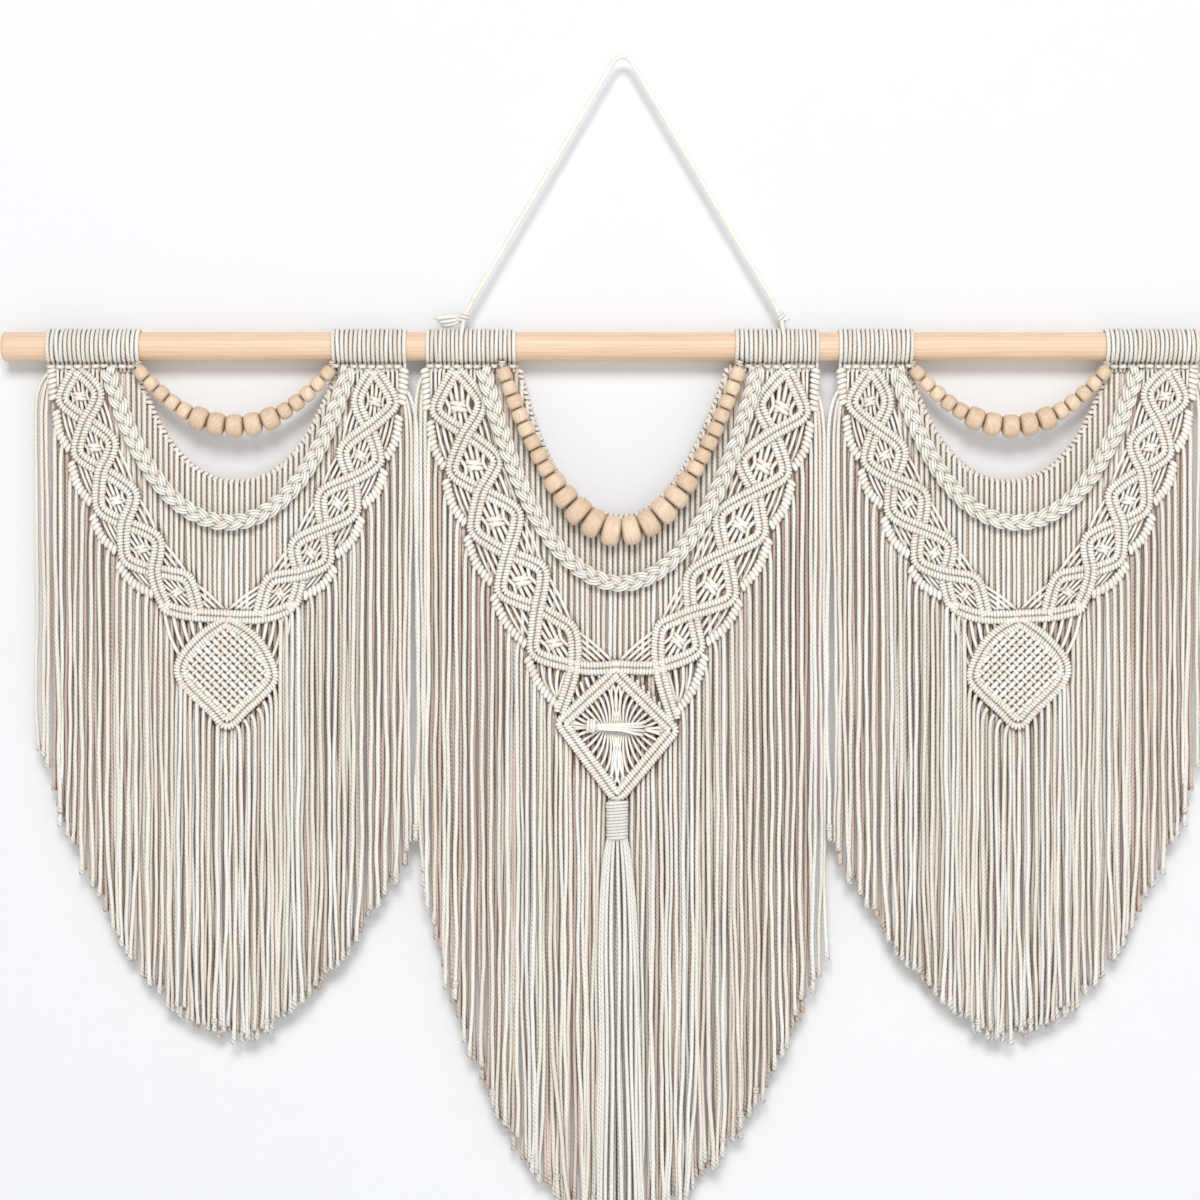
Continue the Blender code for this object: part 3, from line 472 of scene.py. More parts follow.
class Skein:
    """Cords swept along lines, gathered up and then made one mesh."""

    def __init__(self, seed):
        self.chance = np.random.default_rng(seed)
        self.points, self.tones, self.faces = [], [], []
        self.count = 0

    def lay(self, lines, radius, sides, toward=BACK, flat=1.0, closed=False, tone=None, ply=None):
        """Sweeps a cord of that radius along each line of an array (cord, point, xyz).

        A cord may be flatter in the direction toward. Its tone is left to chance if none is given.
        Ply is the number of plies, their depth as a share of the radius and their twist in radians
        a millimetre.
        """
        lines = np.asarray(lines, float)
        lines = lines[None] if lines.ndim == 2 else lines
        many, long = lines.shape[:2]
        radius = np.broadcast_to(np.asarray(radius, float), (many, long))
        toward = np.broadcast_to(np.asarray(toward, float), (many, 3))
        ahead = ahead_of(lines, closed)
        beside = unit(np.cross(ahead, toward[:, None, :]))
        above = np.cross(ahead, beside)
        step = np.linalg.norm(np.diff(lines, axis=1), axis=2)
        reach = np.concatenate((np.zeros((many, 1)), np.cumsum(step, axis=1)), axis=1)
        turn = np.arange(sides) * math.tau / sides
        swell = radius[:, :, None] * np.ones(sides)
        if ply:
            plies, depth, twist = ply
            swell = swell * (1 + depth * np.cos(plies * (turn - reach[:, :, None] * twist)))
        ring = beside[:, :, None] * np.cos(turn)[:, None]
        ring = ring + above[:, :, None] * flat * np.sin(turn)[:, None]
        points = lines[:, :, None] + swell[..., None] * ring
        if tone is None:
            tone = self.chance.random(many)
        tones = np.broadcast_to(np.reshape(tone, (-1, 1, 1)), (many, long, sides))

        index = self.count + np.arange(many * long * sides).reshape(many, long, sides)
        here, there = (index, np.roll(index, -1, 1)) if closed else (index[:, :-1], index[:, 1:])
        quads = np.stack((here, np.roll(here, -1, 2), np.roll(there, -1, 2), there), -1)
        rows = quads.shape[1]
        u = np.broadcast_to(np.arange(sides) / sides, (many, rows, sides))
        u = np.stack((u, u + 1 / sides, u + 1 / sides, u), -1)
        after = reach[:, 1:]
        if closed:
            last_step = 2.0
            after = np.concatenate((after, reach[:, -1:] + last_step), 1)
        low, high = reach[:, :rows] * MM, after * MM
        v = np.stack((low, low, high, high), -1)[:, :, None, :] * np.ones((1, 1, sides, 1))
        self.faces.append((quads.reshape(-1, 4), np.stack((u, v), -1).reshape(-1, 4, 2)))
        if not closed:
            for ends, at in ((index[:, 0, ::-1], 0.0), (index[:, -1], reach[:, -1:] * MM)):
                place = np.zeros((many, sides, 2))
                place[..., 1] = at
                self.faces.append((ends, place))
        self.points.append(points.reshape(-1, 3))
        self.tones.append(tones.reshape(-1))
        self.count += many * long * sides

    def piece(self, name, finish, panel_x=0.0, mirror=1):
        """The mesh of all the cords, placed where the panel hangs."""
        points = np.vstack(self.points)
        place = points * (mirror, 1.0, 1.0) + (panel_x, 0.0, -DOWEL_DROP)
        turned = slice(None, None, mirror)
        corners = np.concatenate([faces[:, turned].ravel() for faces, _ in self.faces])
        laid = np.concatenate([uv[:, turned].reshape(-1, 2) for _, uv in self.faces])
        sizes = np.concatenate([np.full(len(faces), faces.shape[1]) for faces, _ in self.faces])
        mesh = bpy.data.meshes.new(name)
        mesh.vertices.add(len(place))
        mesh.vertices.foreach_set("co", (place * MM).astype(np.float32).ravel())
        mesh.loops.add(len(corners))
        mesh.loops.foreach_set("vertex_index", corners.astype(np.int32))
        mesh.polygons.add(len(sizes))
        starts = np.concatenate(([0], np.cumsum(sizes)[:-1]))
        mesh.polygons.foreach_set("loop_start", starts.astype(np.int32))
        mesh.update(calc_edges=True)
        mesh.uv_layers.new(name="lay").uv.foreach_set("vector", laid.astype(np.float32).ravel())
        tones = mesh.attributes.new("tone", "FLOAT", "POINT")
        tones.data.foreach_set("value", np.concatenate(self.tones).astype(np.float32))
        mesh.shade_smooth()
        mesh.materials.append(finish)
        made = bpy.data.objects.new(name, mesh)
        bpy.context.scene.collection.objects.link(made)
        return made


def kept(piece, slot, *nodes):
    """Fixes a piece to the hanging, in place of the plain solids that it stands for."""
    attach(piece, "root")
    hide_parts(*nodes)


def panel_piece(skein, panel, name, finish, *nodes, slot="cotton_cord"):
    """Makes the cords one piece of a panel, in place of the panel's plain solids of those names."""
    made = skein.piece(f"{panel.name}_{name}", finish_of(finish), panel.x, panel.mirror)
    kept(made, slot, *(f"{panel.name}_{node}" for node in nodes))
    return made


def hitch_row(skein, line, row, side=1):
    """A row of half hitches: short cords arched side by side over a core along the line."""
    line = spaced(line, row.pitch)
    middle = (line[:-1] + line[1:]) / 2
    along = unit(np.diff(line, axis=0) * (1.0, 0.0, 1.0))
    across = np.cross(along, BACK)
    turn = np.radians(np.linspace(-HITCH_TURN, HITCH_TURN, len(HITCH_TAPER)))
    sway = skein.chance.uniform(0.96, 1.04, (len(middle), 1, 1))
    arch = (
        middle[:, None]
        + across[:, None] * (row.half * np.sin(turn))[:, None] * sway
        + along[:, None] * (row.slant * side * np.sin(turn))[:, None]
    )
    arch[:, :, 1] -= row.rise * np.cos(turn) * sway[..., 0]
    skein.lay(arch, row.radius * HITCH_TAPER, 6, along)
    core = spaced(line, 2.4 * row.pitch)
    core[:, 1] += 0.3
    skein.lay(core, row.half * 0.98, 6, flat=0.72)


def band(skein, line, lift, settings, slant=0.6):
    """A double row of half hitches along a line of (x, z), lifted to the front by lift."""
    flat = at_depth(line, KNOT_Y + lift)
    ahead = ahead_of(line)
    across = np.column_stack((-ahead[:, 1], np.zeros(len(line)), ahead[:, 0]))
    width, pitch = settings.row_width / MM, settings.hitch_pitch / MM
    row = Row(width * 0.385, pitch, pitch * 0.56, 1.8, slant)
    for reach in (-0.5, 0.5):
        hitch_row(skein, flat + across * reach * width, row)


def bare_cord(skein, start, control, end, depth, radius, points=9):
    """A cord through the knots at one depth, bowed between places (x, z)."""
    skein.lay(at_depth(bowed(start, control, end, points), depth), radius, 6)


# Hanging strands


def strand_lines(skein, starts, xs, bends, depth, tips, wave, drawn=0.0):
    """Lines of strands that leave their knots, bend, and hang down to their tips."""
    starts, xs, bends, tips = (np.asarray(v, float) for v in (starts, xs, bends, tips))
    many = len(xs)
    chance = skein.chance
    depths = depth + chance.uniform(-0.7, 0.7, many)
    foot = np.column_stack((xs, depths, bends))
    first = starts + (foot - starts) * (0.6, 0.3, 0.1)
    second = foot + (starts - foot) * (0.0, 0.0, 0.55)
    t = np.linspace(0.0, 1.0, BEND_POINTS + 1)[:-1, None]
    bend = (
        starts[:, None] * (1 - t) ** 3
        + 3 * first[:, None] * t * (1 - t) ** 2
        + 3 * second[:, None] * t**2 * (1 - t)
        + foot[:, None] * t**3
    )
    s = np.linspace(0.0, 1.0, FALL_POINTS)
    drop = bends - tips
    hang = np.zeros((many, len(s), 3))
    growing = s**0.7
    for axis, size in ((0, wave), (1, wave * 0.45)):
        sway = np.zeros((many, len(s)))
        for wavelength, share in SWAYS:
            waves = drop[:, None] / wavelength * chance.uniform(0.8, 1.25, (many, 1)) * s
            phase = chance.uniform(0.0, 1.0, (many, 1))
            sway += share * (np.sin(math.tau * (waves + phase)) - np.sin(math.tau * phase))
        hang[:, :, axis] = foot[:, axis : axis + 1] + size * growing * sway
    hang[:, :, 0] += chance.normal(0.0, wave, (many, 1)) * s + np.reshape(drawn, (-1, 1)) * s**5
    hang[:, :, 2] = bends[:, None] - drop[:, None] * s
    return np.concatenate((bend, hang), axis=1)


def bundled(skein, panel, xs, low, high):
    """The tips of strands in bundles: their heights, and how far each is drawn to its bundle."""
    order = np.argsort(xs)
    heights, drawn = np.zeros(len(xs)), np.zeros(len(xs))
    at = 0
    while at < len(xs):
        step = int(skein.chance.integers(BUNDLE_SIZE - 1, BUNDLE_SIZE + 2))
        group = order[at : at + step]
        middle = xs[group].mean()
        hem = hem_at(panel, 0.35 * middle + 0.65 * xs[group])
        heights[group] = hem + skein.chance.uniform(low, high)
        drawn[group] = (middle - xs[group]) * skein.chance.uniform(0.1, 0.5)
        at += step
    return heights + skein.chance.uniform(0.0, 7.0, len(xs)), drawn


def strands(skein, lines, radius, sides=7):
    """Cotton strands along the lines, opened a little at their cut ends into loose fibres."""
    many, long = lines.shape[:2]
    swell = np.ones(long)
    swell[-3:] = TIP_SWELL
    sizes = radius * skein.chance.uniform(0.9, 1.06, (many, 1)) * swell
    tone = skein.chance.random(many)
    skein.lay(lines, sizes, sides, tone=tone)
    frays(skein, lines[:, -1], radius, tone)


def frays(skein, ends, radius, tone, count=5, fall_to=(0.0, 0.0, -1.0)):
    """Loose fibres at the cut ends of strands."""
    chance = skein.chance
    many = len(ends)
    turn = (np.arange(count) / count + chance.random((many, 1))) * math.tau
    out = np.stack((np.cos(turn), np.sin(turn) * 0.7, np.zeros_like(turn)), -1)
    reach = chance.uniform(0.3, 1.7, (many, count, 1))
    fall = chance.uniform(1.0, 4.5, (many, count, 1)) * fall_to
    root = ends[:, None] + out * radius * 0.4 - np.array(fall_to) * 2.0
    lines = np.stack((root, root + fall * 0.5 + out * reach * 0.3, root + fall + out * reach), 2)
    tones = np.repeat(tone, count) + LOOSE_TONE
    skein.lay(lines.reshape(-1, 3, 3), FIBRE_TAPER, 3, tone=tones)


def end_knots(skein, lines, radius):
    """Small overhand knots just above the ends of some of the strands."""
    chosen = skein.chance.random(len(lines)) < KNOTTED_SHARE
    turn = turns(10)
    ring = np.column_stack((np.cos(turn) * radius, np.sin(turn) * radius, np.sin(turn) * 0.9))
    for at in lines[chosen, -2]:
        for rise in (0.0, 2.2):
            skein.lay(at + ring + (0.0, 0.0, rise), radius * 0.62, 6, UP, closed=True)


# Materials


# How the plies of a cotton cord lie: how many, the length of one turn and the height of the relief
# in metres, and how bright the painted shade is in the grooves and where other cords hem it in.
Lay = namedtuple("Lay", "plies turn relief groove crevice")
LAYS = {
    "cotton_strands": Lay(3, 0.012, 0.0007, 0.8, 0.31),
    "cotton_inner": Lay(3, 0.012, 0.0007, 0.82, 0.37),
    "cotton_knots": Lay(2, 0.02, 0.0001, 0.96, 0.26),
    "cotton_rope": Lay(6, 0.02, 0.0003, 0.85, 0.5),
}
# How near another surface has to be, in metres, for painted shade on this one, and its tint.
PAINTED_SHADE_REACH = 0.005
PAINTED_SHADE_TINT = (1.0, 0.86, 0.77)


def dyed(colour, tint):
    """A colour with each channel scaled."""
    return tuple(c * f for c, f in zip(colour, tint))


class Finish:
    """A material in the making, and the nodes that are joined up for it."""

    def __init__(self, name):
        self.material = bpy.data.materials.new(name)
        self.material.use_nodes = True
        self.tree = self.material.node_tree
        self.shader = self.tree.nodes["Principled BSDF"]

    def feed(self, socket, value):
        """Joins a socket to what another node gives, or sets it to a plain value."""
        if isinstance(value, bpy.types.NodeSocket):
            self.tree.links.new(value, socket)
        else:
            socket.default_value = (*value, 1.0) if socket.type == "RGBA" else value

    def node(self, kind, inputs=(), output=0, **choices):
        """Adds a node with those inputs and choices, and gives one of its outputs."""
        made = self.tree.nodes.new(f"ShaderNode{kind}")
        for choice, value in choices.items():
            setattr(made, choice, value)
        for place, value in dict(inputs).items():
            self.feed(made.inputs[place], value)
        return made.outputs[output]

    def attribute(self, name, output="Fac"):
        return self.node("Attribute", output=output, attribute_name=name)

    def split(self, vector):
        """The three parts of a vector."""
        return self.node("SeparateXYZ", {0: vector}).node.outputs

    def maths(self, operation, *values):
        return self.node("Math", enumerate(values), operation=operation)

    def product(self, value, *others):
        for other in others:
            value = self.maths("MULTIPLY", value, other)
        return value

    def mixed(self, share, a, b, blend="MIX"):
        """A colour between a and b, by a share that may come from a pattern."""
        inputs = {0: share, 6: a, 7: b}
        return self.node("Mix", inputs, 2, data_type="RGBA", blend_type=blend)

    def tinted(self, base, value, powers=None):
        """The colour scaled by a value, or by a power of its own of the value in each channel."""
        channels = [value] * 3
        if powers:
            channels = [self.maths("POWER", value, power) for power in powers]
        return self.mixed(1.0, base, self.node("CombineColor", enumerate(channels)), "MULTIPLY")

    def ranged(self, value, low, high, to_low=0.0, to_high=1.0, curve="SMOOTHSTEP"):
        """The value taken from the range low to high into another range."""
        inputs = enumerate((value, low, high, to_low, to_high))
        return self.node("MapRange", inputs, interpolation_type=curve)

    def noise(self, vector, scale, detail=2.0, roughness=0.5):
        inputs = {"Vector": vector, "Scale": scale, "Detail": detail, "Roughness": roughness}
        return self.node("TexNoise", inputs, "Fac")

    def wave(self, vector, scale, distortion, detail, detail_scale=1.0, **choices):
        inputs = {"Vector": vector, "Scale": scale, "Distortion": distortion, "Detail": detail}
        return self.node("TexWave", inputs | {"Detail Scale": detail_scale}, "Fac", **choices)

    def stretched(self, vector, scale):
        return self.node("Mapping", {"Vector": vector, "Scale": scale})

    def painted_crevice_shade(self, coloured, tone, loose=None):
        """The colour, with painted shade darker and warmer where the surface is hemmed in and is
        not a loose fibre.
        """
        hemmed = self.node("AmbientOcclusion", {"Distance": PAINTED_SHADE_REACH}, "AO", samples=2)
        unshaded_share = self.ranged(hemmed, 0.15, 0.85)
        if loose:
            unshaded_share = self.maths("MAXIMUM", unshaded_share, loose)
        dark = self.mixed(1.0, coloured, dyed([tone] * 3, PAINTED_SHADE_TINT), "MULTIPLY")
        return self.mixed(unshaded_share, dark, coloured)

    def done(self, colour, roughness, *bumps, specular=None):
        """Feeds the shader. Each bump is (height, strength, distance in metres)."""
        self.feed(self.shader.inputs["Base Color"], colour)
        self.feed(self.shader.inputs["Roughness"], roughness)
        if specular is not None:
            self.feed(self.shader.inputs["Specular IOR Level"], specular)
        below = {}
        for height, strength, distance in bumps:
            inputs = {"Height": height, "Strength": strength, "Distance": distance, **below}
            below = {"Normal": self.node("Bump", inputs)}
        for name, normal in below.items():
            self.feed(self.shader.inputs[name], normal)
        return self.material


def twisted_cotton(name, colour, shade, lay):
    """Twisted cotton cord: plies that wind round it, soft fibres, and warm painted shade deep
    inside.
    """
    made = Finish(name)
    around, down, _ = made.split(made.node("UVMap", uv_map="lay"))
    tone = made.attribute("tone")
    place = made.node("TexCoord", output="Object")

    # The plies wind round the cord, and start at another angle in each cord.
    winding = made.product(around, math.tau * lay.plies)
    length = made.product(down, math.tau * lay.plies / lay.turn)
    phase = made.maths("ADD", made.maths("ADD", winding, length), made.product(tone, 40.0))
    ply = made.maths("ABSOLUTE", made.maths("SINE", made.product(phase, 0.5)))
    # Fibres run along the plies. The whole hanging is a little uneven too.
    along_fibres = (made.product(phase, 0.0012), made.product(down, 0.16), tone)
    fibres = made.noise(made.node("CombineXYZ", enumerate(along_fibres)), 1500.0, 2.0, 0.6)
    fuzz = made.noise(place, 900.0, 2.0, 0.6)
    cloud = made.noise(place, 14.0)

    # Painted shade goes on the front sides of cords behind the knots and under the wraps, and a
    # darker painted shade on the deepest of them. Depths and heights are in metres here.
    _, back, height = made.split(place)
    normal_back = made.split(made.node("NewGeometry", output="Normal"))[1]
    to_front = made.ranged(normal_back, -0.1, 0.3, 1.0, 0.0)
    painted_shade = made.product(
        made.ranged(back, -0.0030, 0.0002),
        made.ranged(back, 0.0052, 0.0076, 1.0, 0.0),
        made.ranged(height, -0.279, -0.271, 1.0, 0.0),
        to_front,
    )
    deep_painted_shade = made.product(made.ranged(back, 0.0012, 0.0038), painted_shade)
    # The colour, with painted shade deep inside, and paler or warmer from cord to cord in the open.
    # Sides that face the wall keep the plain cotton, so the painted shade is on front sides only.
    base = made.mixed(to_front, tuple(bpy.context.scene.macrame.cotton_colour), colour)
    base = made.mixed(painted_shade, base, shade)
    base = made.mixed(deep_painted_shade, base, dyed(shade, (0.58, 0.5, 0.45)))
    pale = tuple(min(1.0, c * 1.08) for c in colour)
    lean = made.mixed(tone, pale, dyed(colour, (0.95, 0.89, 0.83)))
    near = made.maths("SUBTRACT", 1.0, painted_shade)
    base = made.mixed(made.product(near, 0.75), base, lean)
    mottle = made.ranged(fibres, 0.3, 0.7, 0.93, 1.05)
    dapple = made.ranged(cloud, 0.3, 0.7, 0.965, 1.02)
    # The grooves between the plies are darkened with painted shade.
    groove = made.ranged(ply, 0.0, 0.45, lay.groove, 1.0)
    coloured = made.tinted(base, made.product(mottle, dapple, groove), (0.85, 1.0, 1.12))
    loose = made.maths("GREATER_THAN", tone, LOOSE_TONE)
    # Painted shade where other cords hem the cord in, except on loose fibres.
    return made.done(
        made.painted_crevice_shade(coloured, lay.crevice, loose),
        made.ranged(fuzz, 0.3, 0.7, 0.78, 0.95),
        (ply, 0.8, lay.relief),
        (fibres, 0.5, 0.0002),
        (fuzz, 0.25, 0.0002),
        specular=0.25,
    )


def pine(name, light, dark):
    """Smoothly sanded pine, its grain running along the dowel."""
    made = Finish(name)
    place = made.node("TexCoord", output="Object")
    wander = made.noise(made.stretched(place, (2.5, 9.0, 9.0)), 3.0, 3.0)
    along = made.stretched(place, (1.0, 16.0, 16.0))
    grain = made.wave(along, 5.5, 5.0, 3.0, 1.2, bands_direction="Z")
    rings = made.ranged(grain, 0.25, 0.95)
    fine = made.noise(made.stretched(place, (7.0, 420.0, 420.0)), 3.0, 4.0, 0.65)
    base = made.mixed(made.product(rings, 0.55), light, dark)
    base = made.mixed(made.ranged(wander, 0.35, 0.7, 0.0, 0.35), base, dark)
    pores = made.ranged(fine, 0.35, 0.65, 0.9, 1.04)
    return made.done(
        made.tinted(base, pores, (0.8, 1.0, 1.3)),
        made.ranged(fine, 0.3, 0.7, 0.4, 0.55),
        (fine, 0.25, 0.0003),
        (rings, 0.12, 0.0003),
    )


def end_grain(name, light, dark):
    """The sawn end of the dowel: growth rings cut across."""
    made = Finish(name)
    place = made.node("TexCoord", output="Object")
    heart = (0.0, 0.006, DOWEL_DROP * MM + 0.009)
    centred = made.node("Mapping", {"Vector": place, "Location": heart})
    grain = made.wave(centred, 190.0, 1.5, 2.0, wave_type="RINGS", rings_direction="X")
    speck = made.noise(place, 1600.0, 3.0, 0.7)
    base = made.mixed(made.product(made.ranged(grain, 0.2, 0.9), 0.8), light, dark)
    dots = made.ranged(speck, 0.35, 0.7, 1.0, 0.78)
    return made.done(made.tinted(base, dots), 0.75, (speck, 0.4, 0.0003))


def turned_beech(name, light, dark):
    """Raw turned wood for the beads: each bead has its own grain, by the attribute own_grain."""
    made = Finish(name)
    own = made.attribute("own_grain", "Vector")
    streaks = made.noise(made.stretched(own, (14.0, 14.0, 1.2)), 22.0, 4.0, 0.6)
    along = made.stretched(own, (1.0, 1.0, 0.12))
    grain = made.wave(along, 95.0, 3.0, 2.0, 0.6, bands_direction="X")
    base = made.mixed(made.product(made.ranged(grain, 0.2, 1.0), 0.3), light, dark)
    base = made.mixed(made.ranged(streaks, 0.35, 0.7, 0.0, 0.35), base, dark)
    lean = made.ranged(made.attribute("tone"), 0.0, 1.0, 0.9, 1.08, "LINEAR")
    # Painted shade darkens the beads where other surfaces hem them in.
    return made.done(
        made.painted_crevice_shade(made.tinted(base, lean, (0.7, 1.0, 1.25)), 0.36),
        made.ranged(streaks, 0.3, 0.7, 0.5, 0.66),
        (streaks, 0.22, 0.0003),
    )


def plain_matt(name, colour, roughness=0.9):
    """Matt paint with a faint unevenness, for the wall and the floor."""
    made = Finish(name)
    uneven = made.noise(made.node("TexCoord", output="Object"), 1.3)
    made.done(made.mixed(uneven, colour, dyed(colour, [0.985] * 3)), roughness, specular=0.1)
    return made


def finish_of(kind):
    """The material of that kind, made once from the colours in the settings."""
    found = bpy.data.materials.get(kind)
    if found:
        return found
    s = bpy.context.scene.macrame
    cotton, shade = tuple(s.cotton_colour), tuple(s.painted_shade_colour)
    # The rear strands are the cotton in painted shade on the sides that face the front.
    if kind == "cotton_inner":
        return twisted_cotton(kind, dyed(shade, [0.93] * 3), shade, LAYS[kind])
    if kind in LAYS:
        return twisted_cotton(kind, cotton, cotton if kind == "cotton_rope" else shade, LAYS[kind])
    if kind == "bead_beech":
        return turned_beech(kind, tuple(s.bead_colour), tuple(s.bead_grain_colour))
    wood = {"pine_dowel": pine, "pine_end_grain": end_grain}[kind]
    return wood(kind, tuple(s.pine_colour), tuple(s.pine_grain_colour))


# Settings


Length = partial(FloatProperty, unit="LENGTH")
Colour = partial(FloatVectorProperty, min=0.0, max=1.0, size=3, subtype="COLOR")


class MacrameSettings(bpy.types.PropertyGroup):
    """The sizes and colours of the wall hanging that a user may change."""

    dowel_length: Length(
        name="Dowel length", description="Length of the wooden dowel",
        default=1.09, min=0.9, max=1.3,
    )
    dowel_radius: Length(
        name="Dowel radius", description="Half the thickness of the dowel",
        default=0.0127, min=0.008, max=0.02,
    )
    rope_radius: Length(
        name="Rope radius", description="Half the thickness of the hanging rope",
        default=0.0022, min=0.001, max=0.004,
    )
    cord_radius: Length(
        name="Cord radius", description="Half the thickness of the macrame cord",
        default=0.00198, min=0.001, max=0.003,
    )
    row_width: Length(
        name="Row width", description="Width of one row of half hitches",
        default=0.0058, min=0.003, max=0.009,
    )
    hitch_pitch: Length(
        name="Hitch pitch", description="Distance from one half hitch to the next",
        default=0.0028, min=0.002, max=0.005,
    )
    wrap_pitch: Length(
        name="Wrap pitch", description="Distance between the cords wrapped on the dowel",
        default=0.0039, min=0.003, max=0.006,
    )
    front_pitch: Length(
        name="Front fringe pitch", description="Distance between the strands of the front fringe",
        default=0.0066, min=0.004, max=0.01,
    )
    middle_pitch: Length(
        name="Middle strand pitch",
        description="Distance between the strands under the upper edges",
        default=0.0048, min=0.004, max=0.01,
    )
    deep_pitch: Length(
        name="Rear strand pitch", description="Distance between the strands of the rear layer",
        default=0.0042, min=0.003, max=0.01,
    )
    fringe_wave: Length(
        name="Fringe wave", description="How far the strands stray from hanging straight",
        default=0.0012, min=0.0, max=0.004,
    )
    braid_width: Length(
        name="Braid width", description="Width of the braided swags",
        default=0.0134, min=0.008, max=0.02,
    )
    braid_pitch: Length(
        name="Braid pitch", description="Length of one full turn of the braid",
        default=0.0366, min=0.02, max=0.06,
    )
    tassel_strands: IntProperty(
        name="Tassel strands", description="How many strands the tassel has",
        default=23, min=12, max=60,
    )
    cotton_colour: Colour(
        name="Cotton", description="Colour of the cotton cord",
        default=(0.95, 0.928, 0.872),
    )
    # Painted shade: the colour of cords deep inside the hanging and, a little darker, of the rear
    # strands.
    painted_shade_colour: Colour(
        name="Cotton inside", description="Colour of the cord deep inside the hanging",
        default=(0.865, 0.735, 0.655),
    )
    pine_colour: Colour(
        name="Pine", description="Colour of the dowel's wood",
        default=(0.87, 0.645, 0.455),
    )
    pine_grain_colour: Colour(
        name="Pine grain", description="Colour of the dark grain in the dowel",
        default=(0.77, 0.53, 0.36),
    )
    bead_colour: Colour(
        name="Beads", description="Colour of the beads' wood",
        default=(0.82, 0.643, 0.472),
    )
    bead_grain_colour: Colour(
        name="Bead grain", description="Colour of the grain in the beads",
        default=(0.65, 0.455, 0.30),
    )


# Rope and dowel


def rope_path(settings):
    """The middle of the hanging rope: straight from each knot to the hook, and bent over it."""
    foot_x, foot_z = ROPE_FOOT
    centre = DOWEL_DROP + settings.rope_radius / MM - ROPE_BEND
    reach = math.hypot(foot_x, centre - foot_z)
    arc = math.pi - math.atan2(foot_x, centre - foot_z) - math.acos(ROPE_BEND / reach)
    turn = np.linspace(-arc, arc, 13)
    bend = np.column_stack((ROPE_BEND * np.sin(turn), centre + ROPE_BEND * np.cos(turn)))
    rise = np.linspace(0.0, 1.0, 8)[:-1, None]
    left = np.array((-foot_x, foot_z)) * (1 - rise) + bend[0] * rise
    right = (bend[-1] * (1 - rise) + np.array(ROPE_FOOT) * rise)[1:]
    return at_depth(np.vstack((left, bend, right, [ROPE_FOOT])), 0.0)


class MACRAME_OT_hanging_rope(bpy.types.Operator):
    """Makes the rope that the dowel hangs by, with a knot and a loop round the dowel at each end"""

    bl_idname = "macrame.hanging_rope"
    bl_label = "Hanging rope"

    def execute(self, context):
        s = context.scene.macrame
        radius = s.rope_radius / MM
        path = rope_path(s)
        skein = Skein(seed=3)
        skein.lay(spaced(path, 1.3), radius * 0.97, 12, tone=0.35, ply=(3, 0.075, 0.42))
        rope = skein.piece("hanging_rope", finish_of("cotton_rope"))
        kept(rope, "cotton_cord", "hanging_cord")
        for name, side in (("left", -1), ("right", 1)):
            loop = hanger_loop(s, side).piece(f"rope_knot_{name}", finish_of("cotton_rope"))
            kept(loop, "cotton_cord", f"hanger_loop_{name}")
        world = (path - (0.0, 0.0, DOWEL_DROP)) * MM
        tuple(world[0])
        return {"FINISHED"}


def hanger_loop(settings, side):
    """The end of the rope: round the dowel, then drawn tight into a knot with a frayed tail."""
    skein = Skein(seed=11 + side)
    ring = settings.dowel_radius / MM + 2.0
    knot = np.array((side * (ROPE_LOOP_X - 1.8), 0.0, ROPE_KNOT_Z))
    foot = np.array((side * ROPE_FOOT[0], 0.0, ROPE_FOOT[1]))
    rise = math.acos(ring / ROPE_KNOT_Z)
    turn = np.linspace(rise, math.tau - rise, 30)
    loop = [(side * ROPE_LOOP_X, ring * math.sin(t), ring * math.cos(t)) for t in turn]
    line = np.vstack(([knot + (0.0, 1.4, -2.0)], loop, [knot + (0.0, -1.4, -2.0)]))
    skein.lay(spaced(smooth(line, 3), 1.8), 1.9, 8, (1.0, 0.0, 0.15), tone=0.4, ply=(3, 0.08, 0.5))
    lean = (foot - knot) / np.linalg.norm(foot - knot)
    out = np.cross(BACK, lean)
    turn = turns(18)[:, None]
    for at, reach in ((-3.2, 2.9), (0.0, 3.3), (3.0, 2.7)):
        wind = knot + lean * at + (np.cos(turn) * out + np.sin(turn) * BACK) * reach
        skein.lay(wind + np.cos(turn) * lean * 0.9, 1.6, 8, lean, closed=True, tone=0.4)
    stem = knot + (foot + lean - knot) * np.linspace(-0.35, 1.0, 10)[:, None]
    thick = (1.3, 2.2, 2.8, 2.9, 2.8, 2.4, 2.15, 2.13, 2.13, 2.13)
    skein.lay(stem, thick, 10, tone=0.4, ply=(3, 0.05, 0.42))
    way = side if side < 0 else 0.24
    for n, height in enumerate((0.6, -2.2, -5.0) if side < 0 else (-0.5,)):
        end = knot + (way * (24.0 - 2.5 * n), -2.0 + 1.5 * n, height - 2.0)
        tail = bowed(knot, knot + (way * 8.0, -3.0, height * 1.8), end, 9)
        skein.lay(tail, np.linspace(1.6, 1.9, 9), 7, tone=0.2)
        for part in tail[2:]:
            frays(skein, part[None], 3.0, np.array((0.2,)), 14, (way * 0.8, 0.0, -0.1))
    return skein


